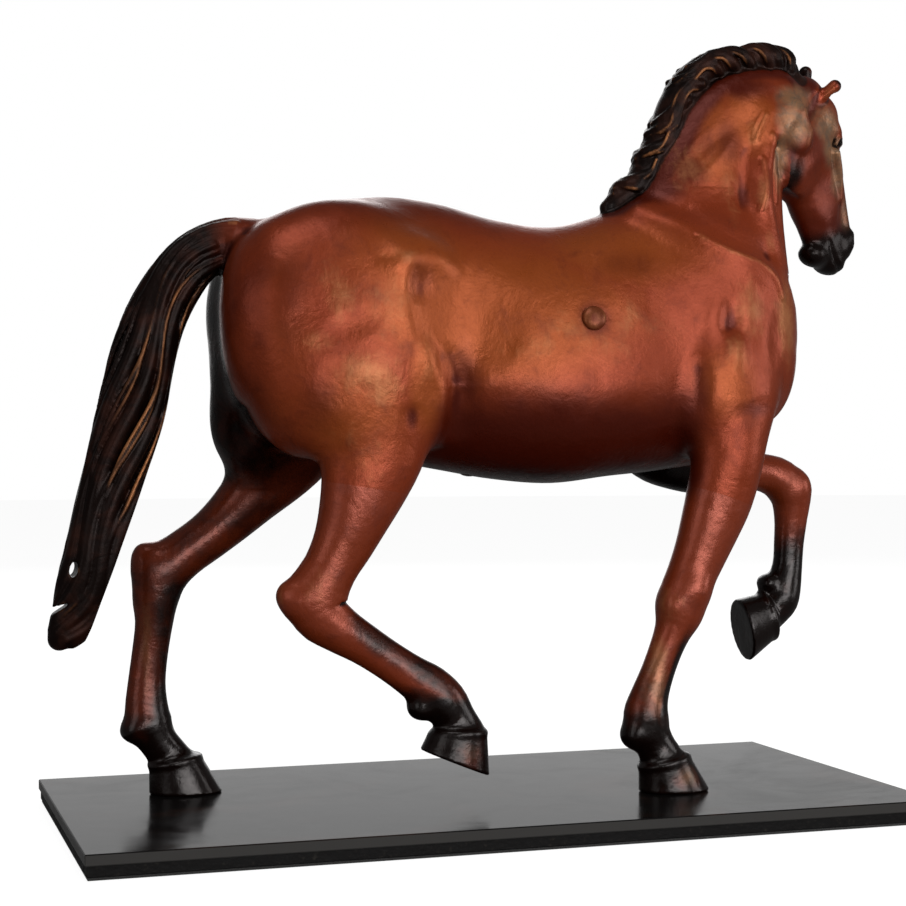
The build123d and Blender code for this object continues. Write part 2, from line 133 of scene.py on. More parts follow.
# ---------- shapes
def turn_matrix(yaw=0, pitch=0, roll=0):
    """Turns about X, then Y, then Z, in degrees; a positive pitch lifts +X."""
    a, b, c = radians(yaw), radians(-pitch), radians(roll)
    about_z = np.array([[cos(a), -sin(a), 0], [sin(a), cos(a), 0], [0, 0, 1]])
    about_y = np.array([[cos(b), 0, sin(b)], [0, 1, 0], [-sin(b), 0, cos(b)]])
    about_x = np.array([[1, 0, 0], [0, cos(c), -sin(c)], [0, sin(c), cos(c)]])
    return about_z @ about_y @ about_x


class Place:
    """A turned local frame: forward, to the horse's right, and up."""

    def __init__(self, origin=(0, 0, 0), yaw=0, pitch=0):
        self.origin, self.turn = np.array(origin, float), turn_matrix(yaw, pitch)

    def point(self, forward, right, up):
        return self.origin + self.turn @ np.array([forward, -right, up], float)


BODY = Place()


def local(x, y, z, origin, turn):
    """Coordinates along the axes of a turned frame."""
    m = turn.astype(np.float32)
    dx, dy, dz = x - origin[0], y - origin[1], z - origin[2]
    return [dx * m[0, i] + dy * m[1, i] + dz * m[2, i] for i in range(3)]


def out_of(k0, k1):
    """The distance to an ellipsoid: k0 is 1 on it, and k1 is how fast that grows."""
    return k0 * (k0 - 1) / np.maximum(k1, 1e-3)


class Egg:
    """An ellipsoid, with radii along its own turned axes."""

    def __init__(self, centre, radii, place=BODY, yaw=0, pitch=0, roll=0):
        self.turn = place.turn @ turn_matrix(yaw, pitch, roll)
        self.centre = place.point(*centre)
        self.radii = np.array(radii, float)

    def box(self, pad):
        reach = np.sqrt((self.turn**2) @ (self.radii**2)) + pad
        return self.centre - reach, self.centre + reach

    def levels(self, x, y, z):
        """How far out a point is, 1 on the surface, and how fast that grows."""
        k0 = k1 = 0
        for radius, along in zip(self.radii.astype(np.float32), local(x, y, z, self.centre, self.turn)):
            u = along / radius
            k0 = k0 + u * u
            k1 = k1 + (u / radius) ** 2
        return np.sqrt(k0), np.sqrt(k1)

    def __call__(self, x, y, z):
        return out_of(*self.levels(x, y, z))


def spline(table, per_span):
    """A smooth curve through the rows of a table."""
    p = np.array(table, float)
    p = np.vstack([2 * p[0] - p[1], p, 2 * p[-1] - p[-2]])
    out = []
    for i in range(1, len(p) - 2):
        a, b, c, d = p[i - 1 : i + 3]
        for t in np.arange(per_span) / per_span:
            curved = (2 * a - 5 * b + 4 * c - d) * t**2 + (3 * b - a - 3 * c + d) * t**3
            out.append(0.5 * (2 * b + (c - a) * t + curved))
    return np.vstack(out + [p[-2]])


class Tube:
    """An ellipse swept through stations (x, y, z, half depth, half width).

    The width lies along the side axis, and the depth square to it and to the path."""

    THINNED = 0.7  # how much the round filling of a bend is thinner than the tube

    def __init__(self, stations, per_span=3, side=(0, 1, 0)):
        rows = spline(stations, per_span)
        self.centres = rows[:, :3].astype(np.float32)
        self.radii = np.maximum(rows[:, 3:5], 0.2).astype(np.float32)
        side = np.array(side, float) / np.linalg.norm(side)
        tangent = np.gradient(rows[:, :3], axis=0)
        tangent /= np.linalg.norm(tangent, axis=1)[:, None]
        width = side - tangent * (tangent @ side)[:, None]
        width /= np.linalg.norm(width, axis=1)[:, None]
        self.tangent, self.width = tangent.astype(np.float32), width.astype(np.float32)
        self.depth = np.cross(width, tangent).astype(np.float32)

    def box(self, pad):
        self.margin = pad
        reach = self.radii.max(1)[:, None] + pad
        return (self.centres - reach).min(0), (self.centres + reach).max(0)

    def __call__(self, x, y, z):
        best = np.full(np.broadcast_shapes(x.shape, y.shape, z.shape), 1e3, np.float32)
        for i in range(len(self.centres) - 1):
            pair = self.centres[i : i + 2]
            reach = self.radii[i : i + 2].max() + self.margin
            axes = zip((x[:, 0, 0], y[0, :, 0], z[0, 0, :]), pair.min(0), pair.max(0))
            cut = tuple(slice(*np.searchsorted(axis, (low - reach, high + reach))) for axis, low, high in axes)
            if all(s.stop > s.start for s in cut):
                near = best[cut]
                np.minimum(near, self.stretch(i, x[cut[0]], y[:, cut[1]], z[:, :, cut[2]]), out=near)
        return best

    def stretch(self, i, x, y, z):
        """The distance to the stretch between two stations: mitred to the next ones, or round at an end."""
        a, b = self.centres[i], self.centres[i + 1]
        ab = b - a
        dx, dy, dz = x - a[0], y - a[1], z - a[2]

        def along(v):
            return dx * v[0] + dy * v[1] + dz * v[2]

        after, before = along(self.tangent[i]), ab @ self.tangent[i + 1] - along(self.tangent[i + 1])
        inside = (after >= 0) & (before >= 0)
        if i == 0:
            inside |= after < 0
        if i == len(self.centres) - 2:
            inside |= before < 0
        mitred = np.clip(after / np.maximum(after + before, 1e-3), 0, 1)
        straight = np.clip(along(ab) / np.float32(max(ab @ ab, 1e-6)), 0, 1)
        result = self.section(i, mitred, dx, dy, dz, ab)
        result = np.where(inside, result, 1e3)
        return np.minimum(result, self.section(i, straight, dx, dy, dz, ab) + self.THINNED)

    def section(self, i, t, dx, dy, dz, ab):
        """The distance to the ellipse at the share t of the way from one station to the next."""
        ox, oy, oz = dx - t * ab[0], dy - t * ab[1], dz - t * ab[2]
        n0, n1, w0, w1 = self.depth[i], self.depth[i + 1], self.width[i], self.width[i + 1]
        n = [n0[k] + (n1[k] - n0[k]) * t for k in range(3)]
        w = [w0[k] + (w1[k] - w0[k]) * t for k in range(3)]
        u = ox * n[0] + oy * n[1] + oz * n[2]
        v = ox * w[0] + oy * w[1] + oz * w[2]
        (p0, q0), (p1, q1) = self.radii[i], self.radii[i + 1]
        p, q = p0 + t * (p1 - p0), q0 + t * (q1 - q0)
        e2 = p * q
        over2 = np.maximum(ox * ox + oy * oy + oz * oz - u * u - v * v, 0)
        k0 = np.sqrt((u / p) ** 2 + (v / q) ** 2 + over2 / e2)
        k1 = np.sqrt((u / p**2) ** 2 + (v / q**2) ** 2 + over2 / e2**2)
        return out_of(k0, k1)


class Barrel:
    """The trunk, by sections square to X: (x, top, bottom, half width, height of the widest place)."""

    END = np.float32(8.0)  # how far each end bulges

    def __init__(self, sections):
        self.rows = spline(sections, 6)

    def box(self, pad):
        x, top, low, half, _ = self.rows.T
        return np.array([x[0], -half.max(), low.min()]) - pad, np.array([x[-1], half.max(), top.max()]) + pad

    def __call__(self, x, y, z):
        r = self.rows
        xs = np.clip(x, r[0, 0], r[-1, 0])
        top, low, half, wide = (np.interp(xs, r[:, 0], r[:, i]).astype(np.float32) for i in (1, 2, 3, 4))
        mid = low + wide * (top - low)
        up = np.where(z > mid, top - mid, mid - low)
        u, v, over = (z - mid) / up, y / half, (x - xs) / self.END
        k0 = np.sqrt(u * u + v * v + over * over)
        k1 = np.sqrt((u / up) ** 2 + (v / half) ** 2 + (over / self.END) ** 2)
        return out_of(k0, k1).astype(np.float32)


class Hoof:
    """An oblique cone with a flat sole, in its own frame at the middle of the sole."""

    WIDTH = 11.4  # half width of the sole
    CORONET = (10.6, 9.3)  # half length and half width at the top

    def __init__(self, place, length=15.2, back=4.6, high=15.0, low=10.5):
        self.place, self.length, self.back, self.high, self.low = place, length, back, high, low
        self.slope = (high - low) / (2 * self.CORONET[0])

    def box(self, pad):
        reach = 26 + pad
        return self.place.origin - reach, self.place.origin + reach

    def __call__(self, x, y, z):
        f, s, u = local(x, y, z, self.place.origin, self.place.turn)
        t = u / self.high
        p = np.maximum(self.length + t * (self.CORONET[0] - self.length), 2)
        q = np.maximum(self.WIDTH + t * (self.CORONET[1] - self.WIDTH), 2)
        k = np.sqrt(((f + self.back * t) / p) ** 2 + (s / q) ** 2)
        wall = (k - 1) * np.minimum(p, q) * 0.92
        top = (u - (self.high + self.low) / 2 - self.slope * (f + self.back)) * 0.95
        return -soft_min(soft_min(-wall, -top, 1.6), u, 1.0)

    def coronet_ring(self):
        """The rounded band where the hoof meets the pastern."""
        middle = (-self.back, 0, (self.high + self.low) / 2)
        radii = (self.CORONET[0] + 0.5, self.CORONET[1] + 0.5, 2.2)
        return Egg(middle, radii, self.place, pitch=degrees(atan2(self.slope, 1)))


def each(shape, field, rows, **same):
    """Applies one kind of shape to the field for every row of its arguments."""
    for row in rows:
        shape(field, *row, **same)


def lone(field, centre, radii, blend, pitch=0, place=BODY):
    """One muscle at (forward, right, up)."""
    field.join(Egg(centre, radii, place, pitch=pitch), blend)


def both(field, centre, radii, blend, pitch=0, carve=False, place=BODY, yaw=0):
    """One muscle or hollow on each side; centre is (forward, right, up) for the right one."""
    forward, right, up = centre
    for s in SIDES:
        egg = Egg((forward, right * s, up), radii, place, yaw * s, pitch)
        (field.carve if carve else field.join)(egg, blend)


def strip(field, rows, blend, carve=False, sides=SIDES, place=BODY):
    """A ridge or a groove along a line: (forward, right, up, half depth, half width)."""
    for s in sides:
        stations = [(*place.point(f, r * s, u), depth, width) for f, r, u, depth, width in rows]
        tube = Tube(stations, side=place.turn @ np.array([0, 1, 0]))
        (field.carve if carve else field.join)(tube, blend)


FADE = 5.5  # how far a touch reaches past its own length and height
THROUGH_SKIN = 14
THREAD = 0.3  # radius of the line that a mark follows


def touch(field, at, length, height, rise, pitch=0):
    """A shallow swelling on both sides, or a hollow if the rise is negative, at a point of the skin."""
    forward, right, up = at
    radii = (length + FADE, THROUGH_SKIN, height + FADE)
    for s in SIDES:
        field.swell(Egg((forward, right * s, up), radii, pitch=pitch), rise)


def mark(field, rows, reach, rise, sides=SIDES):
    """A fine ridge along a line on the skin, or a crease if the rise is negative."""
    for s in sides:
        field.score(Tube([(x, -right * s, z, THREAD, THREAD) for x, right, z in rows]), reach, rise)


# ---------- the horse's lines
# Trunk: x, top, bottom, half width, height of the widest place
BARREL = [
    (-96, 237, 170, 20, 0.55), (-88, 242.5, 158, 28, 0.55), (-70, 249, 150, 33, 0.55),
    (-40, 254, 147, 36, 0.5), (-15, 252, 142.5, 38, 0.42), (10, 246, 138.2, 41.5, 0.38),
    (35, 243.7, 136.3, 43, 0.37), (60, 249, 139, 41, 0.37), (85, 250, 141.5, 35, 0.39),
    (110, 244, 146, 30, 0.45), (123, 225, 158, 24, 0.48), (130, 210, 172, 16, 0.5),
]
# Neck and limbs: x, y, z, half depth, half width
NECK = [
    (96, 0, 208, 44, 26), (101, 0, 224, 42, 25), (104.5, 0, 240, 37.5, 22), (107, 0, 256, 33.5, 19.5),
    (111, 0, 271, 29.5, 17), (118, 0, 285, 25.5, 14.5), (129, 0, 296.5, 20.5, 12.5),
    (141, 1, 302, 15, 10.5),
]
RIGHT_FORE = [
    (106, -26, 172, 18, 13), (105.2, -29, 156, 15.5, 12.5), (102.8, -30, 144, 15.2, 12.0),
    (99.2, -30, 130, 14.4, 11.0), (95.2, -30, 119, 13.0, 10.2), (90.8, -30, 108, 11.4, 9.4),
    (86.4, -30, 98, 10.5, 9.0), (83.2, -30, 90, 10.6, 9.3), (80.8, -30, 82, 9.8, 8.4),
    (77.6, -30, 74.5, 7.7, 6.9), (74.4, -30, 67, 7.0, 6.0), (70.8, -30, 58, 7.1, 5.8),
    (67.6, -30, 49.5, 8.0, 6.4), (65.8, -30, 42, 9.4, 7.8), (66.6, -30, 35, 9.4, 7.6),
    (69.6, -30, 29, 8.2, 6.9), (73.2, -30, 22, 9.2, 8.0),
]
LEFT_FORE = [
    (84, 20, 158, 16, 12), (92, 23, 150, 14, 12), (102, 26, 145.5, 12.8, 11.5), (116, 28, 141.3, 11.0, 11),
    (132, 28, 140.6, 9.0, 9.6), (145, 28, 140.0, 8.4, 8.8), (155.5, 28, 136.5, 9.4, 8.8),
    (161.0, 28, 129, 9.2, 8.6), (161.2, 28, 119, 7.6, 6.8), (160.2, 28, 108, 6.9, 5.8),
    (159.4, 28, 98, 6.8, 6.0), (157.6, 28, 89.5, 8.0, 6.8), (155.6, 28, 82.0, 8.4, 7.4),
    (151.5, 28, 77.0, 7.8, 6.8), (147.0, 28, 74.2, 8.6, 8.0),
]
RIGHT_HIND = [
    (-54, -25, 178, 32, 15), (-50.5, -27, 165, 28.5, 14.5), (-49.5, -28, 151, 22.5, 13.5),
    (-52.5, -29, 138, 18.2, 12.0), (-57, -29, 125, 14.6, 11), (-61.6, -29, 114, 12.2, 9.6),
    (-67, -29, 104, 10.9, 8.8), (-71.8, -29, 94.5, 12.2, 8.8), (-71.0, -29, 86.8, 11.2, 8.4),
    (-63.0, -29, 80.2, 9.4, 7.4), (-53.5, -29, 74.2, 8.2, 6.4), (-44, -29, 67.8, 7.8, 5.9),
    (-35.0, -29, 61.6, 8.2, 6.2), (-27.0, -29, 56.0, 9.4, 7.2), (-20.5, -29, 50, 9.4, 7.6),
    (-16.4, -29, 43.5, 8.6, 7.0), (-13.4, -29, 37.5, 9.2, 8.0),
]
LEFT_HIND = [
    (-60, 24, 182, 34, 16), (-66, 26, 164, 25, 15), (-72, 28, 151, 20, 13.5), (-79, 29, 141, 16.4, 12),
    (-87, 30, 131.5, 13.0, 11), (-96, 31, 122.3, 11.0, 10), (-105, 31, 114.8, 10.0, 9.2),
    (-115, 31, 107.8, 10.0, 8.8), (-123.5, 31, 100.5, 11.2, 8.8), (-126.2, 31, 90, 9.6, 8.2),
    (-126.9, 31, 80, 7.8, 6.8), (-128.6, 31, 68, 7.4, 6.0), (-130.0, 31, 56, 7.7, 5.9),
    (-130.2, 31, 46, 8.8, 6.6), (-129.2, 31, 38.5, 9.6, 7.8), (-125.6, 31, 31.5, 8.0, 7.0),
    (-121.4, 31, 25.5, 8.2, 6.8), (-118.6, 31, 21, 9.2, 8.2),
]
TAIL = [
    (-82, 0, 233, 8, 8), (-97, 0, 235.5, 8.4, 7.6), (-110, 0, 230.4, 9.0, 7.8), (-121, 0, 219.6, 9.6, 8.2),
    (-130, 0, 203.6, 10.0, 8.4), (-135.5, 0, 187, 10.2, 8.4), (-139.6, 0, 169, 10.6, 8.4),
    (-143.6, 0, 151, 10.2, 8.0), (-148.2, 0, 133, 10.0, 7.6), (-153.4, 0, 115, 9.4, 7.0),
    (-157.0, 0, 101, 9.0, 6.2), (-160.6, 0, 90, 8.2, 5.2), (-165.0, 0, 81.5, 6.2, 4.4),
    (-168.4, 0, 77, 3.8, 3.6),
]
HOOVES = {
    "right_fore": Hoof(Place((78.2, -30, 9.5))),
    "left_hind": Hoof(Place((-114, 31, 9.5)), high=15.5, low=12),
    "right_hind": Hoof(Place((-16.2, -29, 25.6), pitch=-22.5), high=16.5, low=8.5, back=3.2),
    "left_fore": Hoof(Place((136.6, 28, 68.8), pitch=-79), length=14.2, high=14.5, low=12.5, back=3.5),
}
HEAD = Place((147, 2, 0), yaw=28)
# The mane's crest: x, y, z, half depth, half width, from the poll back to the withers
CREST = [
    (151, 3, 311.5, 3.4, 4.2), (147.5, 3, 317.6, 4.6, 5.0), (140, 2, 320.4, 5.0, 5.6),
    (130, 1, 319.8, 5.2, 6), (120, 0, 318.2, 5.4, 6.5), (109, 0, 315.6, 5.9, 7), (99, 0, 307.6, 6.6, 7.5),
    (91.6, 0, 297, 6.0, 8), (87, 0, 285.5, 5.6, 8), (80.4, 0, 274, 5.0, 7.5), (74.6, 0, 263.5, 4.6, 7),
    (66.5, 0, 256.8, 4.2, 5.5), (61.5, 0, 253.5, 2.6, 3.5),
]


# ---------- muscles and details
def trunk(field):
    """The barrel, haunches, shoulders and neck."""
    field.join(Barrel(BARREL), 16)
    # haunches
    each(both, field, [
        ((-62, 19, 208), (40, 20, 40), 14, 12),
        ((-80, 17, 192), (22, 19, 44), 12, 8),
        ((-44, 24, 192), (30, 16, 38), 14),
        ((-62, 25, 178), (26, 15, 26), 12),
        ((-23, 25, 173), (11, 12, 18), 7, 10),
    ])
    lone(field, (-86, -21, 174), (17, 15, 27), 10, -6)
    lone(field, (-86, -24, 158), (15, 12, 18), 12)
    # the point of the hip, the flank's hollow, the fold in front of the stifle and the crease behind it
    both(field, (-31, 31, 224), (11, 6, 7), 12, yaw=12)
    both(field, (-13, 45, 208), (12, 4, 15), 14, carve=True)
    fold = [(-12, 43.5, 190, 2, 2), (-13.5, 41, 180, 2.6, 2.6), (-14.5, 37.5, 168, 3, 3), (-16, 33, 152, 3, 3)]
    strip(field, fold, 8, carve=True)
    mark(field, [(-19.5, 38.5, 186), (-18, 38.5, 178), (-17.5, 37, 169), (-17, 31, 158)], 8.5, -1.0)
    each(touch, field, [
        ((-40, 40, 226), 7, 1.2, 0.6, 12),
        ((-21, 36, 224), 6, 1.2, 0.5, -35),
        ((-32, 40.5, 216), 2, 5, -0.9),
        ((-36, 41, 163), 1.2, 1.6, -1.9),
        ((-30, 41, 183), 1.6, 9, 1.0),
        ((-60, 43, 199), 10, 2, -0.7, 20),
        ((-68, 42, 176), 3, 6, -0.6),
        ((-53, 44, 180), 8, 3, 0.6, -40),
    ])
    # shoulder blade, breast and upper arm
    each(both, field, [
        ((101, 18, 204), (30, 16, 42), 14, -24),
        ((116, 16, 188), (20, 17, 24), 12),
        ((127, 11, 184), (12.5, 13, 23), 10),
        ((103, 26, 172), (21, 13, 26), 10),
        ((96, 31, 176), (13, 10, 20), 8, -15),
    ])
    field.join(Tube(NECK), 16)
    # the blade's front edge and the crease above it
    edge = [(72, 13, 249, 4, 4), (90, 22, 241, 6, 5), (112, 26, 228, 7, 5.5)]
    strip(field, edge + [(129, 19, 213, 7, 6), (135, 10, 200, 6, 6)], 9)
    crease = [(75, 21, 257), (87, 25.5, 251), (97, 32.5, 244.5), (111, 35.5, 237.5), (124, 31, 233)]
    strip(field, [(*point, 1, 1) for point in crease], 10, carve=True)
    # the elbow's crease and the fine ridge on the blade's edge
    touch(field, (87, 39, 175), 1.0, 11, -1.0)
    mark(field, [(86, 38.2, 182), (85.4, 38, 176), (85.6, 37.8, 170), (88, 37.7, 160)], 7, -0.5)
    edge = [(91, 30.2, 238.5), (103.6, 33.4, 232.3), (117, 32.5, 228), (125.3, 31, 222), (129, 29.6, 214)]
    mark(field, edge, 2.4, 0.6)
    # the fold over the forearm, and the swellings and hollows of the shoulder
    each(touch, field, [
        ((112, 40, 166.5), 9, 0.8, -1.5, 14),
        ((102, 35, 203), 1.6, 5, -1.1, -8),
        ((94.5, 37, 204), 1.2, 9, 0.7, -14),
        ((111, 34, 209), 2.5, 7, 0.9, -10),
        ((103.5, 40, 190), 2, 7, 0.8, -8),
        ((124, 31, 196), 1.5, 9, -0.8, -10),
    ])
    # the dish round the flank's core plug
    field.carve(Egg((41.6, 43.6, 202.6), (6.4, 2.2, 6.4), roll=-13), 1.6)


def neck_muscles(field):
    """The windpipe, the muscle behind it and the groove between them, and the fine ridges of the neck."""
    windpipe = [(137.5, 2, 285, 5, 6), (136.5, 2, 265, 5, 6), (136.5, 2, 245, 5, 7), (138, 2, 226, 5, 8)]
    strip(field, windpipe, 6, sides=(1,))
    muscle = [(133, 9, 292, 5, 4), (128, 14, 270, 6, 5), (126, 17.5, 250, 6, 5), (129, 17, 230, 6, 5)]
    strip(field, muscle, 8)
    groove = [(135.5, 12, 280, 0.6, 0.6), (134, 16.3, 262, 0.8, 0.8)]
    strip(field, groove + [(134.5, 18.4, 244, 0.8, 0.8), (137, 16, 231, 0.6, 0.6)], 7, carve=True)
    both(field, (146, 10.5, 290), (7, 3.5, 11), 6, 15)
    each(touch, field, [
        ((112, 22, 279), 15, 1.5, 0.9, 38),
        ((100, 15, 276), 13, 1.5, -0.9, 42),
        ((110, 25, 260), 1.5, 9, 0.8, -8),
        ((117, 23, 258), 1.0, 9, -0.4),
        ((123.5, 20, 285), 5, 0.8, 0.6, 55),
    ])
    mark(field, [(129.2, 14.5, 293), (125.9, 15.4, 287.5), (123.5, 16.1, 282)], 2.2, 0.6)
    mark(field, [(125.7, 18.5, 273), (126.2, 20.2, 266.4), (125.7, 22.1, 259.4), (122.5, 22.8, 252)], 2.2, 0.6)
    mark(field, [(131.6, 16.1, 284), (135.3, 10.5, 275), (135.8, 10.2, 266), (135.6, 10.6, 257)], 2.2, 0.5)
    touch(field, (124.5, 21, 259), 0.8, 7, 0.7)
    touch(field, (131, 15, 262), 0.8, 12, -0.5)


def limbs(field):
    """The four legs down to the hooves."""
    for stations, blend in ((RIGHT_FORE, 7), (LEFT_FORE, 7), (RIGHT_HIND, 9), (LEFT_HIND, 9)):
        field.join(Tube(stations), blend)
    for hoof in HOOVES.values():
        field.join(hoof, 1.2)
        field.join(hoof.coronet_ring(), 2.0)
    fetlocks = [
        ((60.0, 30, 33), (5.0, 6, 5), 4, 40),
        ((-135.5, -31, 36.5), (5.5, 6, 4.5), 4, 20),
        ((-31.0, 29, 47.5), (4.6, 5.6, 4.0), 4, -30),
        ((148.5, -28, 90.0), (3.5, 5.5, 3.6), 4),
    ]
    hocks = [((-82.0, 29, 92.5), (5.5, 5, 7), 6, 45), ((-130.0, -31, 105), (5.0, 5, 7.5), 7, 20)]
    knees = [((86, 30, 93), (6, 8.6, 7), 5), ((76.0, 30, 86), (3.2, 6, 5), 5)]
    knees += [((164, -28, 133.5), (5, 7.5, 6), 5)]
    each(lone, field, fetlocks + hocks + knees)


def head(field):
    """The skull, jowls, muzzle and ears, in the head's own frame."""
    skull = [(11, 0, 304, 12, 10), (12, 0, 292, 17, 11.5), (14, 0, 279, 19, 10.5), (18, 0, 267, 17, 9.5)]
    nose = [(22.5, 0, 256, 14, 8.4), (26.5, 0, 247, 12.5, 7.5), (29.5, 0, 240, 11.5, 7.4)]
    strip(field, skull + nose, 6, sides=(1,), place=HEAD)
    each(both, field, [
        ((3, 5.5, 278), (14.5, 6.5, 17), 5, -12),  # jowl
        ((19, 5, 262), (9, 4, 10), 5),
        ((21, 5, 297), (7, 6, 9), 5),  # forehead
        ((24.5, 8.4, 291), (4.6, 3.0, 3.0), 3, -35),  # brow
    ], place=HEAD)
    # eye socket, eye and lid
    both(field, (26.6, 11.2, 286), (3.4, 2.6, 2.4), 1.6, carve=True, place=HEAD)
    both(field, (25.8, 8.6, 286.2), (2.8, 2.6, 2.2), 0.6, place=HEAD)
    lid = [(22.4, 10.8, 285, 0.7, 0.7), (24.2, 11.0, 287.6, 0.8, 0.8), (27.6, 9.8, 288.2, 0.8, 0.8)]
    strip(field, lid + [(29.8, 8.4, 286, 0.6, 0.6)], 1.0, place=HEAD)
    # facial crest, the line of the nose, the hollow of the cheek and the jowl's edge
    strip(field, [(22, 11.4, 281, 1.6, 1.6), (26, 10, 272, 1.7, 1.6), (29, 8.2, 262, 1.2, 1.2)], 3, place=HEAD)
    nose = [(28, 4.5, 284), (32.5, 4, 270), (36.5, 3.6, 256), (39, 3.6, 247)]
    strip(field, [(*point, 3, 3) for point in nose], 4, place=HEAD)
    both(field, (13, 14.5, 262), (7, 3, 7), 9, carve=True, place=HEAD)
    jowl = [(160.7, 2.4, 302.5), (155, 5.8, 296), (147, 14, 288.7), (144, 13.2, 283), (141.6, 11.2, 277.7)]
    mark(field, jowl + [(139.5, 9.7, 271)], 5.5, -0.9, sides=(1,))
    # muzzle: nostrils, upper lip, lower lip and chin, and the mouth between them
    nostril = [((35, 4.4, 241.5), (6.5, 4.6, 7), 3), ((38.6, 6.0, 244), (3.6, 2.8, 4.6), 2.0, -20)]
    each(both, field, nostril, place=HEAD)
    both(field, (40.2, 8.4, 244.2), (1.6, 1.6, 2.6), 1.0, -20, carve=True, place=HEAD)
    lone(field, (31.5, 0, 233.4), (7.2, 7.0, 5.2), 2.5, -10, HEAD)
    lone(field, (19.5, 0, 236.4), (7.0, 6.2, 5.2), 2.5, -15, HEAD)
    mouth = [(36, 4, 229, 0.6, 1.6), (29, 7.4, 232.6, 0.9, 1.8), (25.5, 7.8, 237, 1.0, 1.8)]
    strip(field, mouth + [(23, 8, 242, 0.7, 1.2)], 1.6, carve=True, place=HEAD)
    # ears: the near one turned out, the far one pricked forward
    ear(field, [(11, 5, 301), (13, 8, 304), (15.8, 11.8, 307.6), (17.2, 13.6, 309.4)], 1)
    ear(field, [(17.5, -4.5, 303), (19.4, -4.6, 308.5), (20.8, -4.6, 314.5), (21.2, -4.6, 318.4)], -1)


def ear(field, path, side):
    """A short rounded ear along a path, with the hollow of its mouth at the front."""
    girth = ((2.6, 2.8), (2.3, 2.6), (2.6, 2.9), (2.8, 3.1))
    strip(field, [(*p, *g) for p, g in zip(path, girth)], 2.0, sides=(1,), place=HEAD)
    tip = np.array(path[-1], float)
    root = np.array(path[1], float)
    middle = root + 0.72 * (tip - root) + (1.9, 0.9 * side, -0.6)
    lean = degrees(atan2(tip[2] - root[2], tip[0] - root[0]))
    field.carve(Egg(tuple(middle), (3.6, 1.1, 1.0), HEAD, pitch=lean), 1.0)


def skin_point(rows, s, out, right):
    """A point at s from 0 to 1 along a band, by the shares of its half depth and half width."""
    i = s * (len(rows) - 1)
    x, y, z, depth, width = (np.interp(i, range(len(rows)), rows[:, k]) for k in range(5))
    k = min(int(i), len(rows) - 2)
    along_x, _, along_z = rows[k + 1, :3] - rows[k, :3]
    out *= depth / hypot(along_x, along_z)
    return x + along_z * out, y - width * right, z - along_x * out


def mane(field):
    """The crest's band of hair: S-shaped locks from its lower edge back to its outer one."""
    field.join(Tube(CREST), 3)
    rows = spline(CREST, 4)
    locks = 11
    for side in SIDES:
        for k in range(locks):
            start, run = k / locks * 0.84, 0.17 + 0.03 * sin(2.3 * k)
            for thread, (shift, girth) in enumerate(((0.0, 2.3), (0.16, 0.75), (-0.2, 0.65))):
                stations = []
                for t in np.linspace(0, 1, 8):
                    s = min(start + run * t + 0.012 * thread, 0.999)
                    across = pi / 2 * (0.84 - 1.75 * t + 0.33 * sin(2 * pi * t + 0.5 * k) + shift)
                    lift = 1.0 if thread == 0 else 1.0 + 0.24 * sin(pi * t)
                    size = girth * (0.45 + 0.55 * sin(pi * (0.1 + 0.8 * t)))
                    point = skin_point(rows, s, -sin(across), side * cos(across) * lift)
                    stations.append((*point, size, size))
                field.join(Tube(stations, 2), 1.2 if thread == 0 else 0.8)


def tail(field):
    """The tail: a grooved dock, then locks that wind round it in waves and end in lobes."""
    field.join(Tube(TAIL), 4)
    rows = spline(TAIL, 4)
    locks = 8
    for k in range(locks):
        start = 0.05 + 0.03 * (k * 3 % 5)
        for shift, girth in ((0.0, 3.1), (0.24, 0.9), (-0.3, 0.8)):
            stations = []
            for s in np.linspace(start, 0.97, 22):
                wind = 2.0 * max(s - 0.3, 0) ** 1.3 + 0.3 * sin(2 * pi * (2.7 * s + 0.11 * k)) + shift * (1 + s)
                angle = 2 * pi * k / locks + wind
                size = girth * (0.3 + 0.7 * min((s - start) / 0.35, 1)) * (1 - 0.4 * max(s - 0.75, 0) / 0.25)
                reach = 1.0 if shift == 0 else 1.0 + 0.2 * min((s - start) / 0.3, 1)
                point = skin_point(rows, s, cos(angle) * reach, -sin(angle) * reach)
                stations.append((*point, size, size))
            field.join(Tube(stations, 2), 2.0 if shift == 0 else 0.8)
    # the ends: a lobe with a hole through it, the tip apart from it and a small lobe at the front
    lone(field, (-163.4, 0, 99), (5.0, 3.6, 11), 3, -4)
    field.carve(Egg((-163.4, 0, 104.8), (1.7, 12, 3.4), pitch=-10), 0.8)
    field.carve(Egg((-170.5, 0, 88.9), (6.8, 9, 1.0), pitch=28), 0.8)
    lone(field, (-167.0, 0, 79.6), (6.8, 4.4, 5.0), 2, 48)
    lone(field, (-155.5, 0, 85.5), (2.8, 3.0, 5.2), 1.5, -24)


def horse(field):
    """Everything that is cast, in one field."""
    for part in (trunk, neck_muscles, limbs, head, mane, tail):
        part(field)


# ---------- castings
class Joint:
    """The plane where a casting is fixed to the torso, and the line that the casting follows beyond it."""

    def __init__(self, point, direction, line=None, reach=0.0):
        self.point = np.array(point, float)
        self.normal = np.array([cos(radians(direction)), 0, sin(radians(direction))])
        self.line, self.reach = None if line is None else spline(line, 4)[:, :3], reach

    def beyond(self, points):
        """Whether each point belongs to the casting."""
        mask = (points - self.point) @ self.normal > 0
        if self.line is not None:
            at = np.nonzero(mask)[0]
            away = np.full(len(at), NOWHERE)
            for c in self.line:
                away = np.minimum(away, ((points[at] - c) ** 2).sum(1))
            mask[at] = away < self.reach**2
        return mask


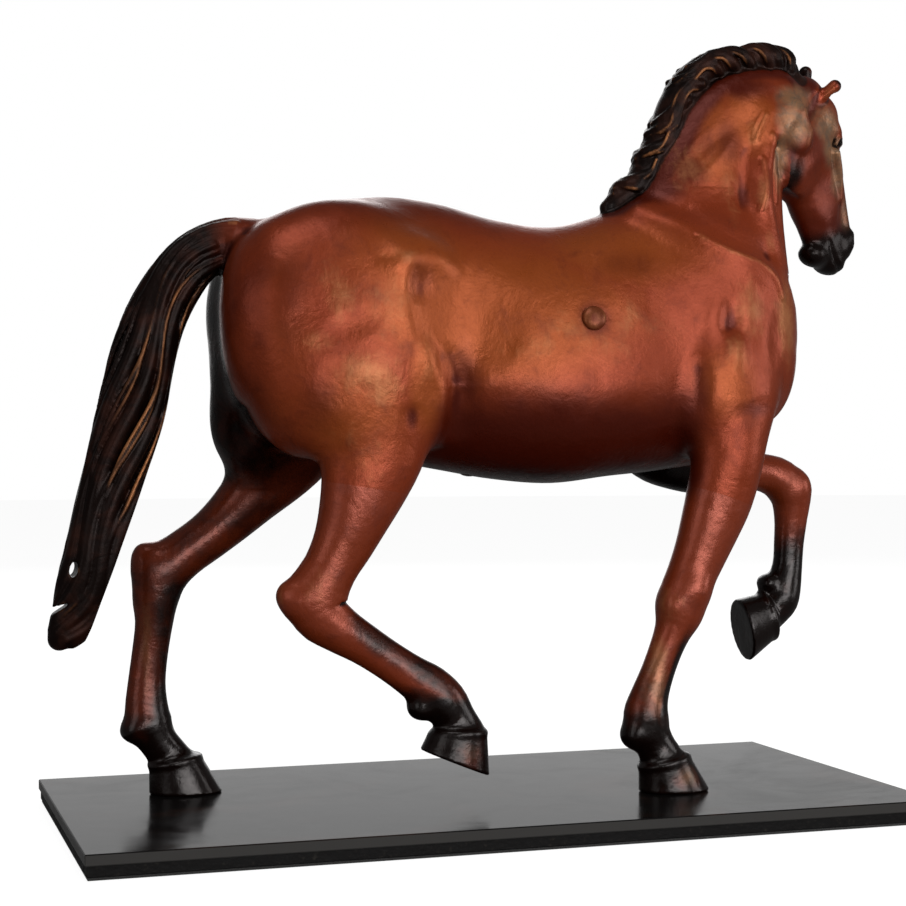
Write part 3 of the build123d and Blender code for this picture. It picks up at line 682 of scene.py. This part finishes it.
JOINTS = {
    "right_foreleg": Joint((100.5, -30, 130), -108, RIGHT_FORE, 22),
    "left_foreleg": Joint((119, 28, 141), -4, LEFT_FORE, 20),
    "right_hind_leg": Joint((-54.5, -29, 136), -99, RIGHT_HIND, 34),
    "left_hind_leg": Joint((-84, 31, 137), -132, LEFT_HIND, 30),
    "neck_head": Joint((104, 0, 239), 70),
    "tail": Joint((-103, 0, 229), 160, TAIL, 19),
}


def split_at(bm, joint):
    """Cuts the faces near a joint's plane along it."""
    co, no = Vector(joint.point * MM), Vector(joint.normal)
    faces = [f for f in bm.faces if abs((f.verts[0].co - co).dot(no)) < 3 * MM]
    geometry = {v for f in faces for v in f.verts} | {e for f in faces for e in f.edges} | set(faces)
    bmesh.ops.bisect_plane(bm, geom=list(geometry), dist=1e-8, plane_co=co, plane_no=no)


def tidy_mesh(bm, own, others):
    """Keeps the faces of one casting, closes its cut ends and turns every face outward."""
    for joint in ([own] if own else []) + others:
        split_at(bm, joint)
    bm.faces.ensure_lookup_table()
    centres = np.array([f.calc_center_median() for f in bm.faces]) / MM
    keep = own.beyond(centres) if own else np.ones(len(centres), bool)
    for joint in others:
        keep &= ~joint.beyond(centres)
    bmesh.ops.delete(bm, geom=[f for f, k in zip(bm.faces, keep) if not k], context="FACES")
    rims = [e for e in bm.edges if len(e.link_faces) == 1]
    caps = bmesh.ops.holes_fill(bm, edges=rims, sides=0)["faces"]
    bmesh.ops.triangulate(bm, faces=caps)
    bmesh.ops.recalc_face_normals(bm, faces=bm.faces)


def casting(name, node, slot, low, high, step, materials, shape=horse, own=None, others=()):
    """Meshes a shape inside a box and keeps the part that belongs to one casting.

    The second material, if there is one, goes where the hair is."""
    field = Field(low, high, step)
    shape(field)
    points, quads = field.mesh()
    mesh = bpy.data.meshes.new(name)
    mesh.from_pydata((points * MM).tolist(), [], quads.tolist())
    bm = bmesh.new()
    bm.from_mesh(mesh)
    tidy_mesh(bm, own, list(others))
    bm.to_mesh(mesh)
    bm.free()
    mesh.shade_smooth()
    mesh.set_sharp_from_angle(angle=radians(50))
    piece = bpy.data.objects.new(name, mesh)
    bpy.context.collection.objects.link(piece)
    hairy = paint(mesh, field)
    for material in materials:
        mesh.materials.append(material)
    if len(materials) > 1:
        for face in mesh.polygons:
            face.material_index = int(hairy[face.vertices[0]] > 0.5)
    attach(piece, "root")
    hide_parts(node)


# ---------- painting
def fade(low, high, values):
    """0 at low and 1 at high, with a smooth rise or fall between them."""
    t = np.clip((values - low) / (high - low), 0, 1)
    return t * t * (3 - 2 * t)


def patches(points, table, place=BODY, soft=0.9):
    """The strongest of several soft-edged ellipsoids at each point: (centre, radii, strength)."""
    strongest = np.zeros(len(points))
    for centre, radii, strength in table:
        along = (points - place.point(*centre)) @ place.turn / np.array(radii)
        inside = 1 - fade(1 - soft, 1 + soft, np.linalg.norm(along, axis=1))
        strongest = np.maximum(strongest, strength * inside)
    return strongest


# Rubbed places, with painted highlights among them (glints, the bright lines down the neck and the cannons'
# tendons): centre (forward, right, up), radii, strength
KHAKI_HEAD = [
    ((14, 11, 292), (10, 8, 9), 0.95), ((19, 11, 282), (9, 8, 8), 0.95), ((25, 10, 271), (5, 5, 10), 0.85),
    ((36, 5, 252), (4.5, 6, 15), 0.7),
]
KHAKI_NECK = [
    ((147.5, 11, 301), (11, 12, 8), 0.95), ((142.5, 12, 290), (8.5, 12, 9), 0.95),
    ((138, 13, 276), (4, 10, 15), 0.9), ((66, 34, 50), (5, 10, 20), 0.55),
]
GOLD_BODY = [
    ((-66, 42, 211), (7, 12, 12), 0.6), ((-44, 42, 208), (11, 12, 15), 0.5),
    ((-74, 42, 192), (7, 12, 5), 0.55), ((-54, 44, 180), (14, 12, 9), 0.7),
    ((-48, 44, 175), (8, 12, 8), 0.75), ((-30, 41, 186), (5, 12, 14), 0.5),
    ((-40, 40, 226.5), (10, 8, 4), 0.5), ((-21, 36, 224), (7, 8, 4), 0.4),
    ((-64, 40, 157), (9, 12, 9), 0.35), ((-52, 38, 146), (7, 14, 14), 0.35),
    ((55, 40, 204), (8, 12, 10), 0.5), ((29, 41, 202), (9, 12, 7), 0.5), ((70, 38, 200), (14, 12, 8), 0.35),
    ((45, 41, 191), (18, 12, 7), 0.35), ((12, 42, 192), (18, 12, 7), 0.4),
    ((111, 34, 208), (9, 12, 14), 0.6), ((103, 41, 190), (5, 12, 9), 0.65),
    ((132, 28, 204), (7, 14, 18), 0.85), ((94, 16, 269), (11, 12, 12), 0.5),
    ((110, 25, 259), (5, 14, 14), 0.6), ((123.5, 20, 285), (4, 12, 7), 0.7),
    ((124, 21, 258), (3, 12, 9), 0.7), ((137.5, 12, 272), (3.5, 14, 14), 0.7),
    ((125.5, 25, 237), (3, 12, 6), 0.55), ((69, 36, 58), (4, 8, 22), 0.9), ((72, 36, 86), (7, 9, 10), 0.5),
    ((-74, 36, 98), (8, 9, 10), 0.4),
]
GOLD_FAR_HIND = ((-131, -25, 72), (2.6, 8, 22), 0.7)
PLUG_SHADE = ((41, 40, 203), (7, 8, 7), 0.9)
# Painted highlights on the middles of the hooves' walls
HOOF_HIGHLIGHTS = [
    ((81, 41, 17), (6, 5, 5), 1.0), ((-12, 40, 31), (6, 5, 6), 0.7), ((-111, 42, 18), (6, 5, 5), 0.8),
]
# Where the coat turns orange-brown
WARM_BODY = [
    ((0, 40, 205), (52, 40, 26), 1.0), ((-34, 40, 222), (24, 40, 22), 0.8),
    ((106, 20, 282), (10, 40, 22), 0.7), ((122, 20, 292), (12, 40, 14), 0.8),
    ((60, 40, 232), (40, 30, 14), 0.8), ((-30, 44, 180), (8, 30, 20), 1.0),
    ((-60, 44, 165), (24, 30, 24), 0.5), ((-84, 34, 186), (12, 30, 30), 0.4),
    ((100, 40, 178), (12, 30, 14), 0.6),
]
# Painted shade in deep red: the neck's hollows, the band under the mane, and the creases and hollows of the
# flank and shoulder
DEEP_SHADE_BODY = [
    ((102, 14, 280), (9, 20, 8), 0.5), ((92, 14, 268), (8, 20, 8), 0.6), ((80, 16, 260), (10, 20, 6), 0.9),
    ((98, 24, 247), (16, 20, 4), 0.3), ((118, 26, 236), (10, 20, 4), 0.25),
    ((110, 19, 281), (7, 12, 10), 0.6), ((-32, 40, 217), (6, 12, 8), 0.45),
    ((-13, 38, 172), (7, 20, 20), 0.7), ((-36, 42, 163), (2.6, 10, 4.5), 0.8),
    ((86.5, 40, 168), (4, 12, 16), 0.6), ((102, 35, 203), (5, 10, 9), 0.45),
    ((112, 41, 166.5), (11, 12, 3.5), 0.6), ((-84, 34, 205), (8, 30, 20), 0.5),
    ((-74, 40, 172), (8, 20, 12), 0.5), ((120, 12, 306), (16, 20, 6), 0.8),
    ((62, 30, 226), (16, 30, 6), 0.4),
]


def horse_dark(p, facing_left):
    """Where the bronze turns black: the lower legs; and painted shade on the far hind leg, the far buttock, the
    cleft between the buttocks, behind the far foreleg and under the belly, which is partly dark bronze too.
    """
    x, y, z = p.T
    far_fore = fade(126, 98, z) * (x > 110) * (z < 150)
    ahead = x - 65.8 - 0.363 * (z - 42)
    near_fore = np.maximum(0.9 * fade(-0.5, 4.5, ahead) * fade(84, 66, z), fade(60, 32, z))
    near_fore = np.maximum(near_fore, 0.45 * fade(76, 56, z)) * (x < 110) * (x > 20)
    near_hind = fade(60, 48, z + 0.1 * (x + 20)) * (x < 20) * (x > -95) * (y < 0)
    front = 0.57 * (x + 63) + 0.82 * (z - 80)
    cannon = 0.7 * fade(-3.5, 2.5, front) * fade(-66, -56, x) * fade(94, 84, z)
    cannon *= (x < 0) * (y < 0)
    # The far hind leg: darker all over as painted shade of the far side, darker still on the cannon's front and
    # black at the fetlock.
    far_hind = 0.5 + 0.3 * fade(-131, -123, x) * fade(104, 92, z) + 0.4 * fade(52, 36, z)
    far_hind *= fade(-60, -80, x) * fade(150, 128, z) * (y > 0)
    # Painted shade under the belly, with some dark bronze there as well.
    under = 0.6 * fade(152, 138, z) * fade(118, 134, z) * fade(30, 14, np.abs(y))
    under *= fade(112, 100, x)
    thigh = fade(116, 150, z)
    # Painted shade on the far buttock, less where it faces left, and in the cleft between the buttocks.
    inner = 0.85 * fade(-2, 8, y) * fade(-50, -84, x) * fade(236, 222, z) * thigh
    inner *= fade(0.75, 0.2, facing_left)
    cleft = 0.8 * fade(12, 5, np.abs(y)) * fade(-70, -84, x) * fade(232, 222, z) * thigh
    # Painted shade behind the far foreleg, under the left side of the belly.
    behind = fade(148, 140, z) * fade(124, 130, z) * fade(8, 14, y)
    behind *= fade(118, 108, x) * (x > 50)
    return np.maximum.reduce([far_fore, near_fore, near_hind, cannon, far_hind, under, inner, cleft, behind])


def horse_deep_shade(p):
    """Where the coat is deep red: painted shade on the lower barrel, the croup's top, the rump and in the
    table's hollows, and deep red on the crest and the cheek.
    """
    x, _, z = p.T
    barrel = 1.2 * fade(194, 146, z) * fade(-34, -16, x)
    barrel *= fade(96, 82, x) * fade(120, 140, z)
    top = 0.5 * fade(224, 250, z) * fade(40, 0, x)
    crest = 0.7 * fade(300, 316, z) * (x < 150)
    cheek = 0.6 * fade(136, 142, x) * fade(225, 235, z) * fade(300, 285, z)
    rump = 0.5 * fade(-76, -100, x) * (z > 130)
    return np.maximum.reduce([barrel, top, crest, cheek, rump, patches(p, DEEP_SHADE_BODY)])


def head_dark(p):
    """Black muzzle, eyes and left ear, and painted shade under the jaw at the jowl's rear."""
    f, u = (p - HEAD.origin) @ HEAD.turn[:, 0], p[:, 2]
    muzzle = fade(254, 243, u - 0.25 * (f - 30)) * (f > 6)
    # Painted shade under the jaw and along the jowl's rear edge.
    jaw = 0.8 * fade(2, -6, f - 0.2 * (u - 270)) * fade(285, 268, u)
    eyes = [((25.8, 9.5 * s, 286.2), (2.8, 3.0, 2.1), 1.0) for s in SIDES]
    ears = [((20, -4.6, 314), (5, 4.5, 9), 0.9), ((18, 14.6, 310), (3, 3, 3), 0.8)]
    parts = np.maximum(muzzle * (p[:, 0] > 136), jaw * (p[:, 0] > 143)) * (u > 222)
    return np.maximum(parts, patches(p, eyes + ears, HEAD, 0.3))


def mane_level(p):
    """How far each point is from the middle of the mane's band, about 1 at its edge."""
    best = np.full(len(p), 9.0)
    for x, y, z, depth, width in spline(CREST, 3):
        flat = ((p[:, 0] - x) ** 2 + (p[:, 2] - z) ** 2) / (depth + 2) ** 2
        best = np.minimum(best, flat + ((p[:, 1] - y) / (width + 4)) ** 2)
    return best


def hair(p, beside_mane):
    """1 on the mane and the tail, 0 on the coat."""
    mane_part = fade(1.2, 0.9, beside_mane)
    near_tail = np.full(len(p), NOWHERE)
    for r in spline(TAIL, 3)[4:]:
        near_tail = np.minimum(near_tail, np.linalg.norm(p - r[:3], axis=1) - r[3])
    tail_part = fade(-92, -112, p[:, 0]) * (p[:, 2] > 60) * fade(8, 4, near_tail)
    return np.maximum(mane_part, tail_part)


def hair_rubbed_and_highlit(p):
    """Where the hair's ridges are golden, partly rubbed and partly painted highlight: most on the right side,
    which faces the lights, away from the tail's root and back.
    """
    x, y, z = p.T
    side = 0.15 + 0.85 * fade(1.5, -2.5, y)
    back = fade(-11, 2, x + 143 - 0.27 * (z - 150)) * fade(226, 200, z)
    return side * np.where(x < -80, back, 0.75)


def store(mesh, name, *shares):
    """Keeps up to four shares per point as a colour layer."""
    values = np.ones((len(mesh.vertices), 4), np.float32)
    values[:, : len(shares)] = np.stack(shares, axis=1)
    mesh.color_attributes.new(name, "FLOAT_COLOR", "POINT").data.foreach_set("color", values.ravel())


def paint(mesh, field):
    """Stores how dark, khaki, golden, hairy, warm and deep each point is, with painted shade in the dark and
    deep shares and painted highlights in the khaki and golden ones; returns the hair's share.
    """
    flat = np.empty(len(mesh.vertices) * 3, np.float32)
    mesh.vertices.foreach_get("co", flat)
    p = flat.reshape(-1, 3) / MM
    mirrored = p.copy()
    mirrored[:, 1] = -np.abs(p[:, 1])
    ridge = field.ridge(p.astype(np.float32), 1.2)
    wide = field.ridge(p.astype(np.float32), 3.0)
    beside_mane = mane_level(p)
    is_hair = hair(p, beside_mane)
    mesh.vertices.foreach_get("normal", flat)
    dark = np.maximum(horse_dark(p, flat.reshape(-1, 3)[:, 1]), head_dark(p))
    # Painted shade: black in the creases, by how concave the surface is.
    dark = np.maximum(dark, 0.8 * fade(-0.16, -0.6, ridge))
    # Painted highlights on the hooves: less black and khaki in the middles of their walls.
    hoof_highlights = patches(mirrored, HOOF_HIGHLIGHTS)
    dark *= 1 - 0.45 * hoof_highlights
    khaki = np.maximum(patches(p, KHAKI_HEAD, HEAD, 0.8), patches(mirrored, KHAKI_NECK, soft=0.8))
    khaki = np.maximum(khaki, hoof_highlights)
    # Gold: rubbed places with painted highlights among them, then rubbed ridges, and on the hair its golden
    # ridges.
    gold = patches(mirrored, GOLD_BODY)
    gold = np.maximum(gold, patches(p, [GOLD_FAR_HIND]))
    gold = np.maximum(gold, 0.5 * fade(0.12, 0.32, wide) * (1 - dark))
    gold = np.where(is_hair > 0.5, fade(0.65, 1.3, ridge) * hair_rubbed_and_highlit(p), gold)
    warm = patches(mirrored, WARM_BODY, soft=0.8)
    # Deep red: painted shade on the body and in the wide creases, the coat beside the mane, and painted shade
    # round the plug.
    deep = np.maximum(horse_deep_shade(mirrored), fade(-0.03, -0.22, wide))
    deep = np.maximum(deep, 1.1 * fade(5.5, 1.1, beside_mane))
    deep = np.maximum(deep, patches(p, [PLUG_SHADE]))
    store(mesh, "patina_and_painted_light", dark, khaki * (1 - is_hair), gold, is_hair)
    store(mesh, "coat", warm, deep)
    return is_hair


# ---------- materials
class Nodes:
    """A short way to make and link nodes."""

    def __init__(self, name):
        self.material = bpy.data.materials.new(name)
        self.material.use_nodes = True
        self.tree = self.material.node_tree
        self.shader = self.tree.nodes["Principled BSDF"]

    def feed(self, socket, value):
        """Links a socket to another node's output, or sets it to a plain value."""
        if isinstance(value, bpy.types.NodeSocket):
            self.tree.links.new(value, socket)
        else:
            socket.default_value = value

    def fill(self, node, **inputs):
        for key, value in inputs.items():
            self.feed(node.inputs[key.replace("_", " ")], value)

    def node(self, kind, **inputs):
        made = self.tree.nodes.new("ShaderNode" + kind)
        self.fill(made, **inputs)
        return made

    def noise(self, scale, detail, rough, stretch=(1, 1, 1), warp=0.0):
        """A noise over the object's own coordinates, from 0 to 1."""
        place = self.node("TexCoord").outputs["Object"]
        placed = self.node("Mapping", Vector=place, Scale=stretch)
        made = self.node("TexNoise", Vector=placed.outputs[0], Scale=scale, Detail=detail, Roughness=rough)
        made.inputs["Distortion"].default_value = warp
        return made.outputs["Fac"]

    def ramp(self, value, low, high, to_low=0.0, to_high=1.0):
        made = self.node("MapRange", Value=value, From_Min=low, From_Max=high, To_Min=to_low, To_Max=to_high)
        made.interpolation_type = "SMOOTHSTEP"
        return made.outputs["Result"]

    def math(self, operation, a, b):
        made = self.node("Math")
        made.operation = operation
        self.feed(made.inputs[0], a)
        self.feed(made.inputs[1], b)
        return made.outputs[0]

    def times(self, a, b):
        return self.math("MULTIPLY", a, b)

    def plus(self, a, b):
        return self.math("ADD", a, b)

    def mix(self, share, a, b):
        made = self.node("Mix")
        made.data_type = "RGBA"
        self.feed(made.inputs[0], share)
        for socket, colour in zip(made.inputs[6:8], (a, b)):
            self.feed(socket, (*colour, 1.0) if isinstance(colour, tuple) else colour)
        return made.outputs[2]

    def layer(self, name):
        """The four shares of a colour layer."""
        made = self.node("VertexColor")
        made.layer_name = name
        split = self.node("SeparateColor", Color=made.outputs["Color"])
        return (*split.outputs, made.outputs["Alpha"])

    def bump(self, height, distance, strength, under=None):
        lower = {} if under is None else {"Normal": under}
        return self.node("Bump", Height=height, Distance=distance, Strength=strength, **lower).outputs[0]

    def finish(self, colour, rough, **others):
        self.fill(self.shader, Base_Color=colour, Roughness=rough, **others)
        return self.material


CHESTNUT = (0.235, 0.034, 0.0090)
ORANGE = (0.300, 0.061, 0.0105)
OXBLOOD = (0.080, 0.0075, 0.0020)
BLACK_BROWN = (0.0060, 0.0022, 0.0015)
KHAKI = (0.165, 0.102, 0.062)
GOLD = (0.42, 0.165, 0.062)
HAIR_BROWN = (0.027, 0.0080, 0.0046)


def bronze(name, shine=0.25, dull=0.0):
    """Patinated bronze: mottled coat, black low parts and painted shade, khaki and golden rubbed places with
    painted highlights, brush marks.
    """
    n = Nodes(name)
    dark, khaki, gold, hair_share = n.layer("patina_and_painted_light")
    warm, deep, _, _ = n.layer("coat")
    cloud = n.noise(24, 5, 0.6, warp=0.6)
    spots = n.noise(85, 5, 0.6, warp=0.3)
    flecks = n.noise(230, 6, 0.65, warp=0.8)
    grain = n.noise(900, 3, 0.6)
    brush = n.noise(420, 2, 0.5, stretch=(1.0, 1.0, 0.16), warp=0.5)
    centred = n.math("SUBTRACT", spots, 0.5)
    warm_share = n.times(n.ramp(n.plus(warm, cloud), 0.55, 1.35), 0.9)
    colour = n.mix(warm_share, CHESTNUT, ORANGE)
    # Oxblood where the coat is deep red, much of it painted shade.
    colour = n.mix(n.ramp(n.plus(deep, cloud), 0.6, 1.45), colour, OXBLOOD)
    colour = n.mix(n.ramp(spots, 0.52, 0.75, 0.0, 0.4), colour, OXBLOOD)
    colour = n.mix(n.ramp(grain, 0.45, 0.8, 0.0, 0.2), colour, OXBLOOD)
    ragged = n.plus(n.times(spots, 0.5), n.times(flecks, 0.5))
    ragged = n.plus(ragged, n.times(brush, 0.3))
    # Gold where the bronze is rubbed and where highlights are painted.
    worn_and_highlit = n.ramp(n.plus(n.times(gold, 0.8), ragged), 0.84, 1.6, 0.0, 0.85)
    colour = n.mix(worn_and_highlit, colour, GOLD)
    khaki_share = n.ramp(n.plus(khaki, centred), 0.2, 1.0)
    colour = n.mix(khaki_share, colour, n.mix(n.ramp(flecks, 0.35, 0.65, 0.0, 0.4), KHAKI, GOLD))
    # Black where the bronze is dark and where shade is painted.
    edge = n.plus(dark, n.times(centred, 0.8))
    blackened_and_shaded = n.times(n.ramp(edge, 0.0, 0.95), n.ramp(dark, 0.0, 0.12))
    colour = n.mix(blackened_and_shaded, colour, BLACK_BROWN)
    hair_colour = n.mix(n.ramp(spots, 0.42, 0.7), BLACK_BROWN, HAIR_BROWN)
    hair_colour = n.mix(n.times(gold, n.ramp(cloud, 0.38, 0.58, 0.25, 0.95)), hair_colour, GOLD)
    colour = n.mix(hair_share, colour, hair_colour)
    rough = n.ramp(n.plus(spots, n.times(grain, 0.35)), 0.35, 0.9, 0.25 + dull, 0.4 + dull)
    rough = n.math("SUBTRACT", rough, n.times(blackened_and_shaded, 0.1))
    normal = n.bump(brush, 0.00012, 0.4)
    normal = n.bump(flecks, 0.0003, 0.3, normal)
    normal = n.bump(spots, 0.0012, 0.4, normal)
    return n.finish(colour, rough, Normal=normal, Metallic=0.4, Specular_IOR_Level=shine)


def lacquer(name, gloss):
    """Black lacquered board with faint smudges, dust and a brown bloom."""
    n = Nodes(name)
    smudge = n.noise(22, 5, 0.6, warp=1.2)
    dust = n.noise(1400, 2, 0.5)
    bloom = n.ramp(n.noise(9, 4, 0.6, warp=2.0), 0.5, 0.72, 0.0, 0.6)
    colour = n.mix(bloom, (0.0052, 0.0046, 0.0045), (0.038, 0.018, 0.012))
    facing = n.node("NewGeometry").outputs["Normal"]
    level = n.ramp(n.node("SeparateXYZ", Vector=facing).outputs["Z"], 0.2, 0.8)
    colour = n.mix(level, (0.046, 0.044, 0.042), colour)
    colour = n.mix(n.ramp(dust, 0.68, 0.8, 0.0, 0.25), colour, (0.03, 0.027, 0.025))
    rough = n.ramp(smudge, 0.3, 0.75, gloss, gloss + 0.13)
    normal = n.bump(n.noise(60, 3, 0.5), 0.0002, 0.15)
    return n.finish(colour, rough, Normal=normal, Specular_IOR_Level=0.03)


def painted_edge(name):
    """The under board's rougher black paint."""
    n = Nodes(name)
    chips = n.noise(420, 5, 0.7)
    colour = n.mix(n.ramp(chips, 0.55, 0.75, 0.0, 0.6), (0.0055, 0.005, 0.005), (0.035, 0.03, 0.026))
    rough = n.ramp(chips, 0.3, 0.7, 0.32, 0.6)
    return n.finish(colour, rough, Normal=n.bump(chips, 0.0004, 0.6), Specular_IOR_Level=0.08)


def felt(name):
    """Matted black felt."""
    n = Nodes(name)
    fibre = n.noise(2600, 4, 0.7, warp=2.0)
    colour = n.mix(n.ramp(fibre, 0.35, 0.7), (0.006, 0.006, 0.006), (0.028, 0.027, 0.026))
    rough = n.ramp(fibre, 0.3, 0.7, 0.9, 1.0)
    return n.finish(colour, rough, Normal=n.bump(fibre, 0.0004, 0.8), Sheen_Weight=0.4)


def metal(name, tone, dull, rough_low, rough_high):
    """Turned fastening metal with fine marks."""
    n = Nodes(name)
    marks = n.noise(1800, 3, 0.6, stretch=(1, 1, 6))
    stain = n.noise(300, 4, 0.6)
    colour = n.mix(n.ramp(stain, 0.45, 0.7, 0.0, 0.5), tone, dull)
    rough = n.ramp(marks, 0.3, 0.7, rough_low, rough_high)
    return n.finish(colour, rough, Normal=n.bump(marks, 0.00004, 0.5), Metallic=1.0)


# ---------- the pieces
coat = bronze("bronze_chestnut")
legs = bronze("bronze_leg", 0.5, -0.02)
dark_hair = bronze("bronze_dark_hair", 0.14, 0.06)
casting(
    "torso", "torso_casting", "bronze_chestnut", (-112, -50, 122), (152, 50, 262), 1.0, [coat],
    others=JOINTS.values(),
)
casting(
    "neck_and_head", "neck_head_casting", "bronze_chestnut_and_black", (52, -36, 226), (196, 42, 334), 0.6,
    [coat, dark_hair], own=JOINTS["neck_head"],
)
casting(
    "tail", "tail_casting", "bronze_dark_hair", (-182, -22, 66), (-92, 22, 252), 0.55, [dark_hair],
    own=JOINTS["tail"],
)
LEGS = {
    "right_foreleg": ((48, -48, 6), (122, -12, 150)),
    "left_foreleg": ((112, 10, 50), (174, 46, 160)),
    "right_hind_leg": ((-96, -50, 12), (6, -8, 150)),
    "left_hind_leg": ((-150, 6, 6), (-54, 52, 166)),
}
for leg, (low, high) in LEGS.items():
    casting(leg, leg + "_casting", "bronze_leg", low, high, 0.6, [legs], own=JOINTS[leg])
# Core plugs: centre (forward, right, up), radii, roll
PLUGS = {
    "flank": ((40.2, 40.2, 203.2), (5.0, 2.2, 5.0), -13),
    "belly_rear": ((0, 0, 141.3), (4.5, 4.5, 1.9), 0),
    "belly_front": ((62, 0, 141.7), (4.5, 4.5, 1.9), 0),
}
for plug, (centre, radii, roll) in PLUGS.items():
    egg = Egg(centre, radii, roll=roll)
    casting(
        "plug_" + plug, "core_plug_" + plug, "bronze_chestnut", *egg.box(1.5), 0.3, [coat],
        shape=lambda field: field.join(egg, 0),
    )


# ---------- CAD nodes that stay
def dress(node, material):
    """Gives a CAD node a better material."""
    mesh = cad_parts[node].data
    mesh.materials.clear()
    mesh.materials.append(material)


steel = metal("steel", (0.42, 0.42, 0.43), (0.16, 0.15, 0.14), 0.22, 0.4)
pin_bronze = metal("pin_bronze", (0.42, 0.24, 0.12), (0.14, 0.07, 0.035), 0.28, 0.45)
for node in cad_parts:
    if node == "top_board":
        dress(node, lacquer("black_lacquer", 0.1))
    elif node == "under_board":
        dress(node, painted_edge("under_board_black"))
    elif node == "felt_lining":
        dress(node, felt("felt"))
    elif node.endswith("_pin") or node.endswith("_pins"):
        dress(node, pin_bronze)
    elif not node.endswith("_casting") and not node.startswith("core_plug"):
        dress(node, steel)


# ---------- camera, floor and light
CAMERA_AT = (-248.7, -784.3, 149.2)
CAMERA_LENS, CAMERA_YAW, CAMERA_ROLL = 78.69, 17.11, 0.332


def photo_camera():
    """Stands behind the horse's right flank, a little below the middle of its height."""
    data = bpy.data.cameras.new("camera")
    data.lens, data.sensor_width = CAMERA_LENS, 36.0
    data.clip_start, data.clip_end = 0.05, 30
    camera = bpy.data.objects.new("camera", data)
    yaw, roll = radians(CAMERA_YAW), radians(CAMERA_ROLL)
    ahead = Vector((sin(yaw), cos(yaw), 0))
    right = Vector((cos(yaw), -sin(yaw), -roll))
    up = right.cross(ahead)
    camera.matrix_world = Matrix((right, up, -ahead)).transposed().to_4x4()
    camera.location = Vector(CAMERA_AT) * MM
    bpy.context.collection.objects.link(camera)
    bpy.context.scene.camera = camera


# Soft boxes: place, aim, width and height, watts
LIGHTS = {
    "key": ((0.65, -1.5, 0.75), (0, 0, 0.2), (1.0, 1.0), 9),
    "low": ((0.25, -1.5, 0.18), (0, 0, 0.08), (1.3, 0.36), 8),
    "side": ((1.5, -0.7, 0.4), (0, 0, 0.2), (0.6, 0.8), 5),
    "top": ((-0.4, -0.7, 1.6), (0, 0, 0.2), (0.8, 0.8), 6),
    "fill": ((-1.5, -1.1, 0.5), (0, 0, 0.2), (0.8, 1.0), 3),
    "far_side": ((0.3, 1.5, 0.9), (0, 0, 0.2), (1.0, 0.8), 5),
}


def area_light(name, place, aim, size, watts):
    data = bpy.data.lights.new(name, "AREA")
    data.shape, data.energy = "RECTANGLE", watts
    data.size, data.size_y = size
    light = bpy.data.objects.new(name, data)
    light.location = place
    light.rotation_euler = (Vector(aim) - Vector(place)).to_track_quat("-Z", "Y").to_euler()
    bpy.context.collection.objects.link(light)


def studio_floor():
    """A plain pale floor."""
    bm = bmesh.new()
    bmesh.ops.create_circle(bm, cap_ends=True, segments=96, radius=6.0)
    mesh = bpy.data.meshes.new("floor")
    bm.to_mesh(mesh)
    bm.free()
    floor = bpy.data.objects.new("floor", mesh)
    floor.location.z = -0.0004  # just under the felt
    bpy.context.collection.objects.link(floor)
    n = Nodes("floor_paper")
    glow = {"Emission_Color": (1, 1, 1, 1), "Emission_Strength": 0.92}
    mesh.materials.append(n.finish((0.26, 0.26, 0.26, 1), 0.95, Specular_IOR_Level=0.0, **glow))
    floor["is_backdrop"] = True
    return floor


def surround():
    """An even white wall beyond the horse, fading to grey overhead and on the camera's side."""
    world = bpy.data.worlds.new("studio")
    bpy.context.scene.world = world
    world.use_nodes = True
    tree = world.node_tree
    background = tree.nodes["Background"]
    direction = tree.nodes.new("ShaderNodeTexCoord").outputs["Generated"]
    ahead = tree.nodes.new("ShaderNodeVectorMath")
    ahead.operation = "DOT_PRODUCT"
    ahead.inputs[1].default_value = (0.294, 0.956, 0.0)
    tree.links.new(direction, ahead.inputs[0])
    fade = tree.nodes.new("ShaderNodeMapRange")
    fade.interpolation_type = "SMOOTHSTEP"
    for key, value in {"From Min": 0.84, "From Max": 0.945, "To Min": 0.14, "To Max": 1.0}.items():
        fade.inputs[key].default_value = value
    tree.links.new(ahead.outputs["Value"], fade.inputs["Value"])
    tree.links.new(fade.outputs["Result"], background.inputs["Strength"])
    background.inputs["Color"].default_value = (1.0, 1.0, 1.0, 1)


def keep_floor_light_off(floor):
    """The floor's own glow doesn't light the pieces, so that their undersides stay dark."""
    group = bpy.data.collections.new("not lit by the floor")
    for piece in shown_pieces():
        group.objects.link(piece)
    floor.light_linking.receiver_collection = group
    for member in group.collection_objects:
        member.light_linking.link_state = "EXCLUDE"


bpy.context.scene.view_settings.view_transform = "Standard"
photo_camera()
surround()
keep_floor_light_off(studio_floor())
for light, settings in LIGHTS.items():
    area_light(light, *settings)
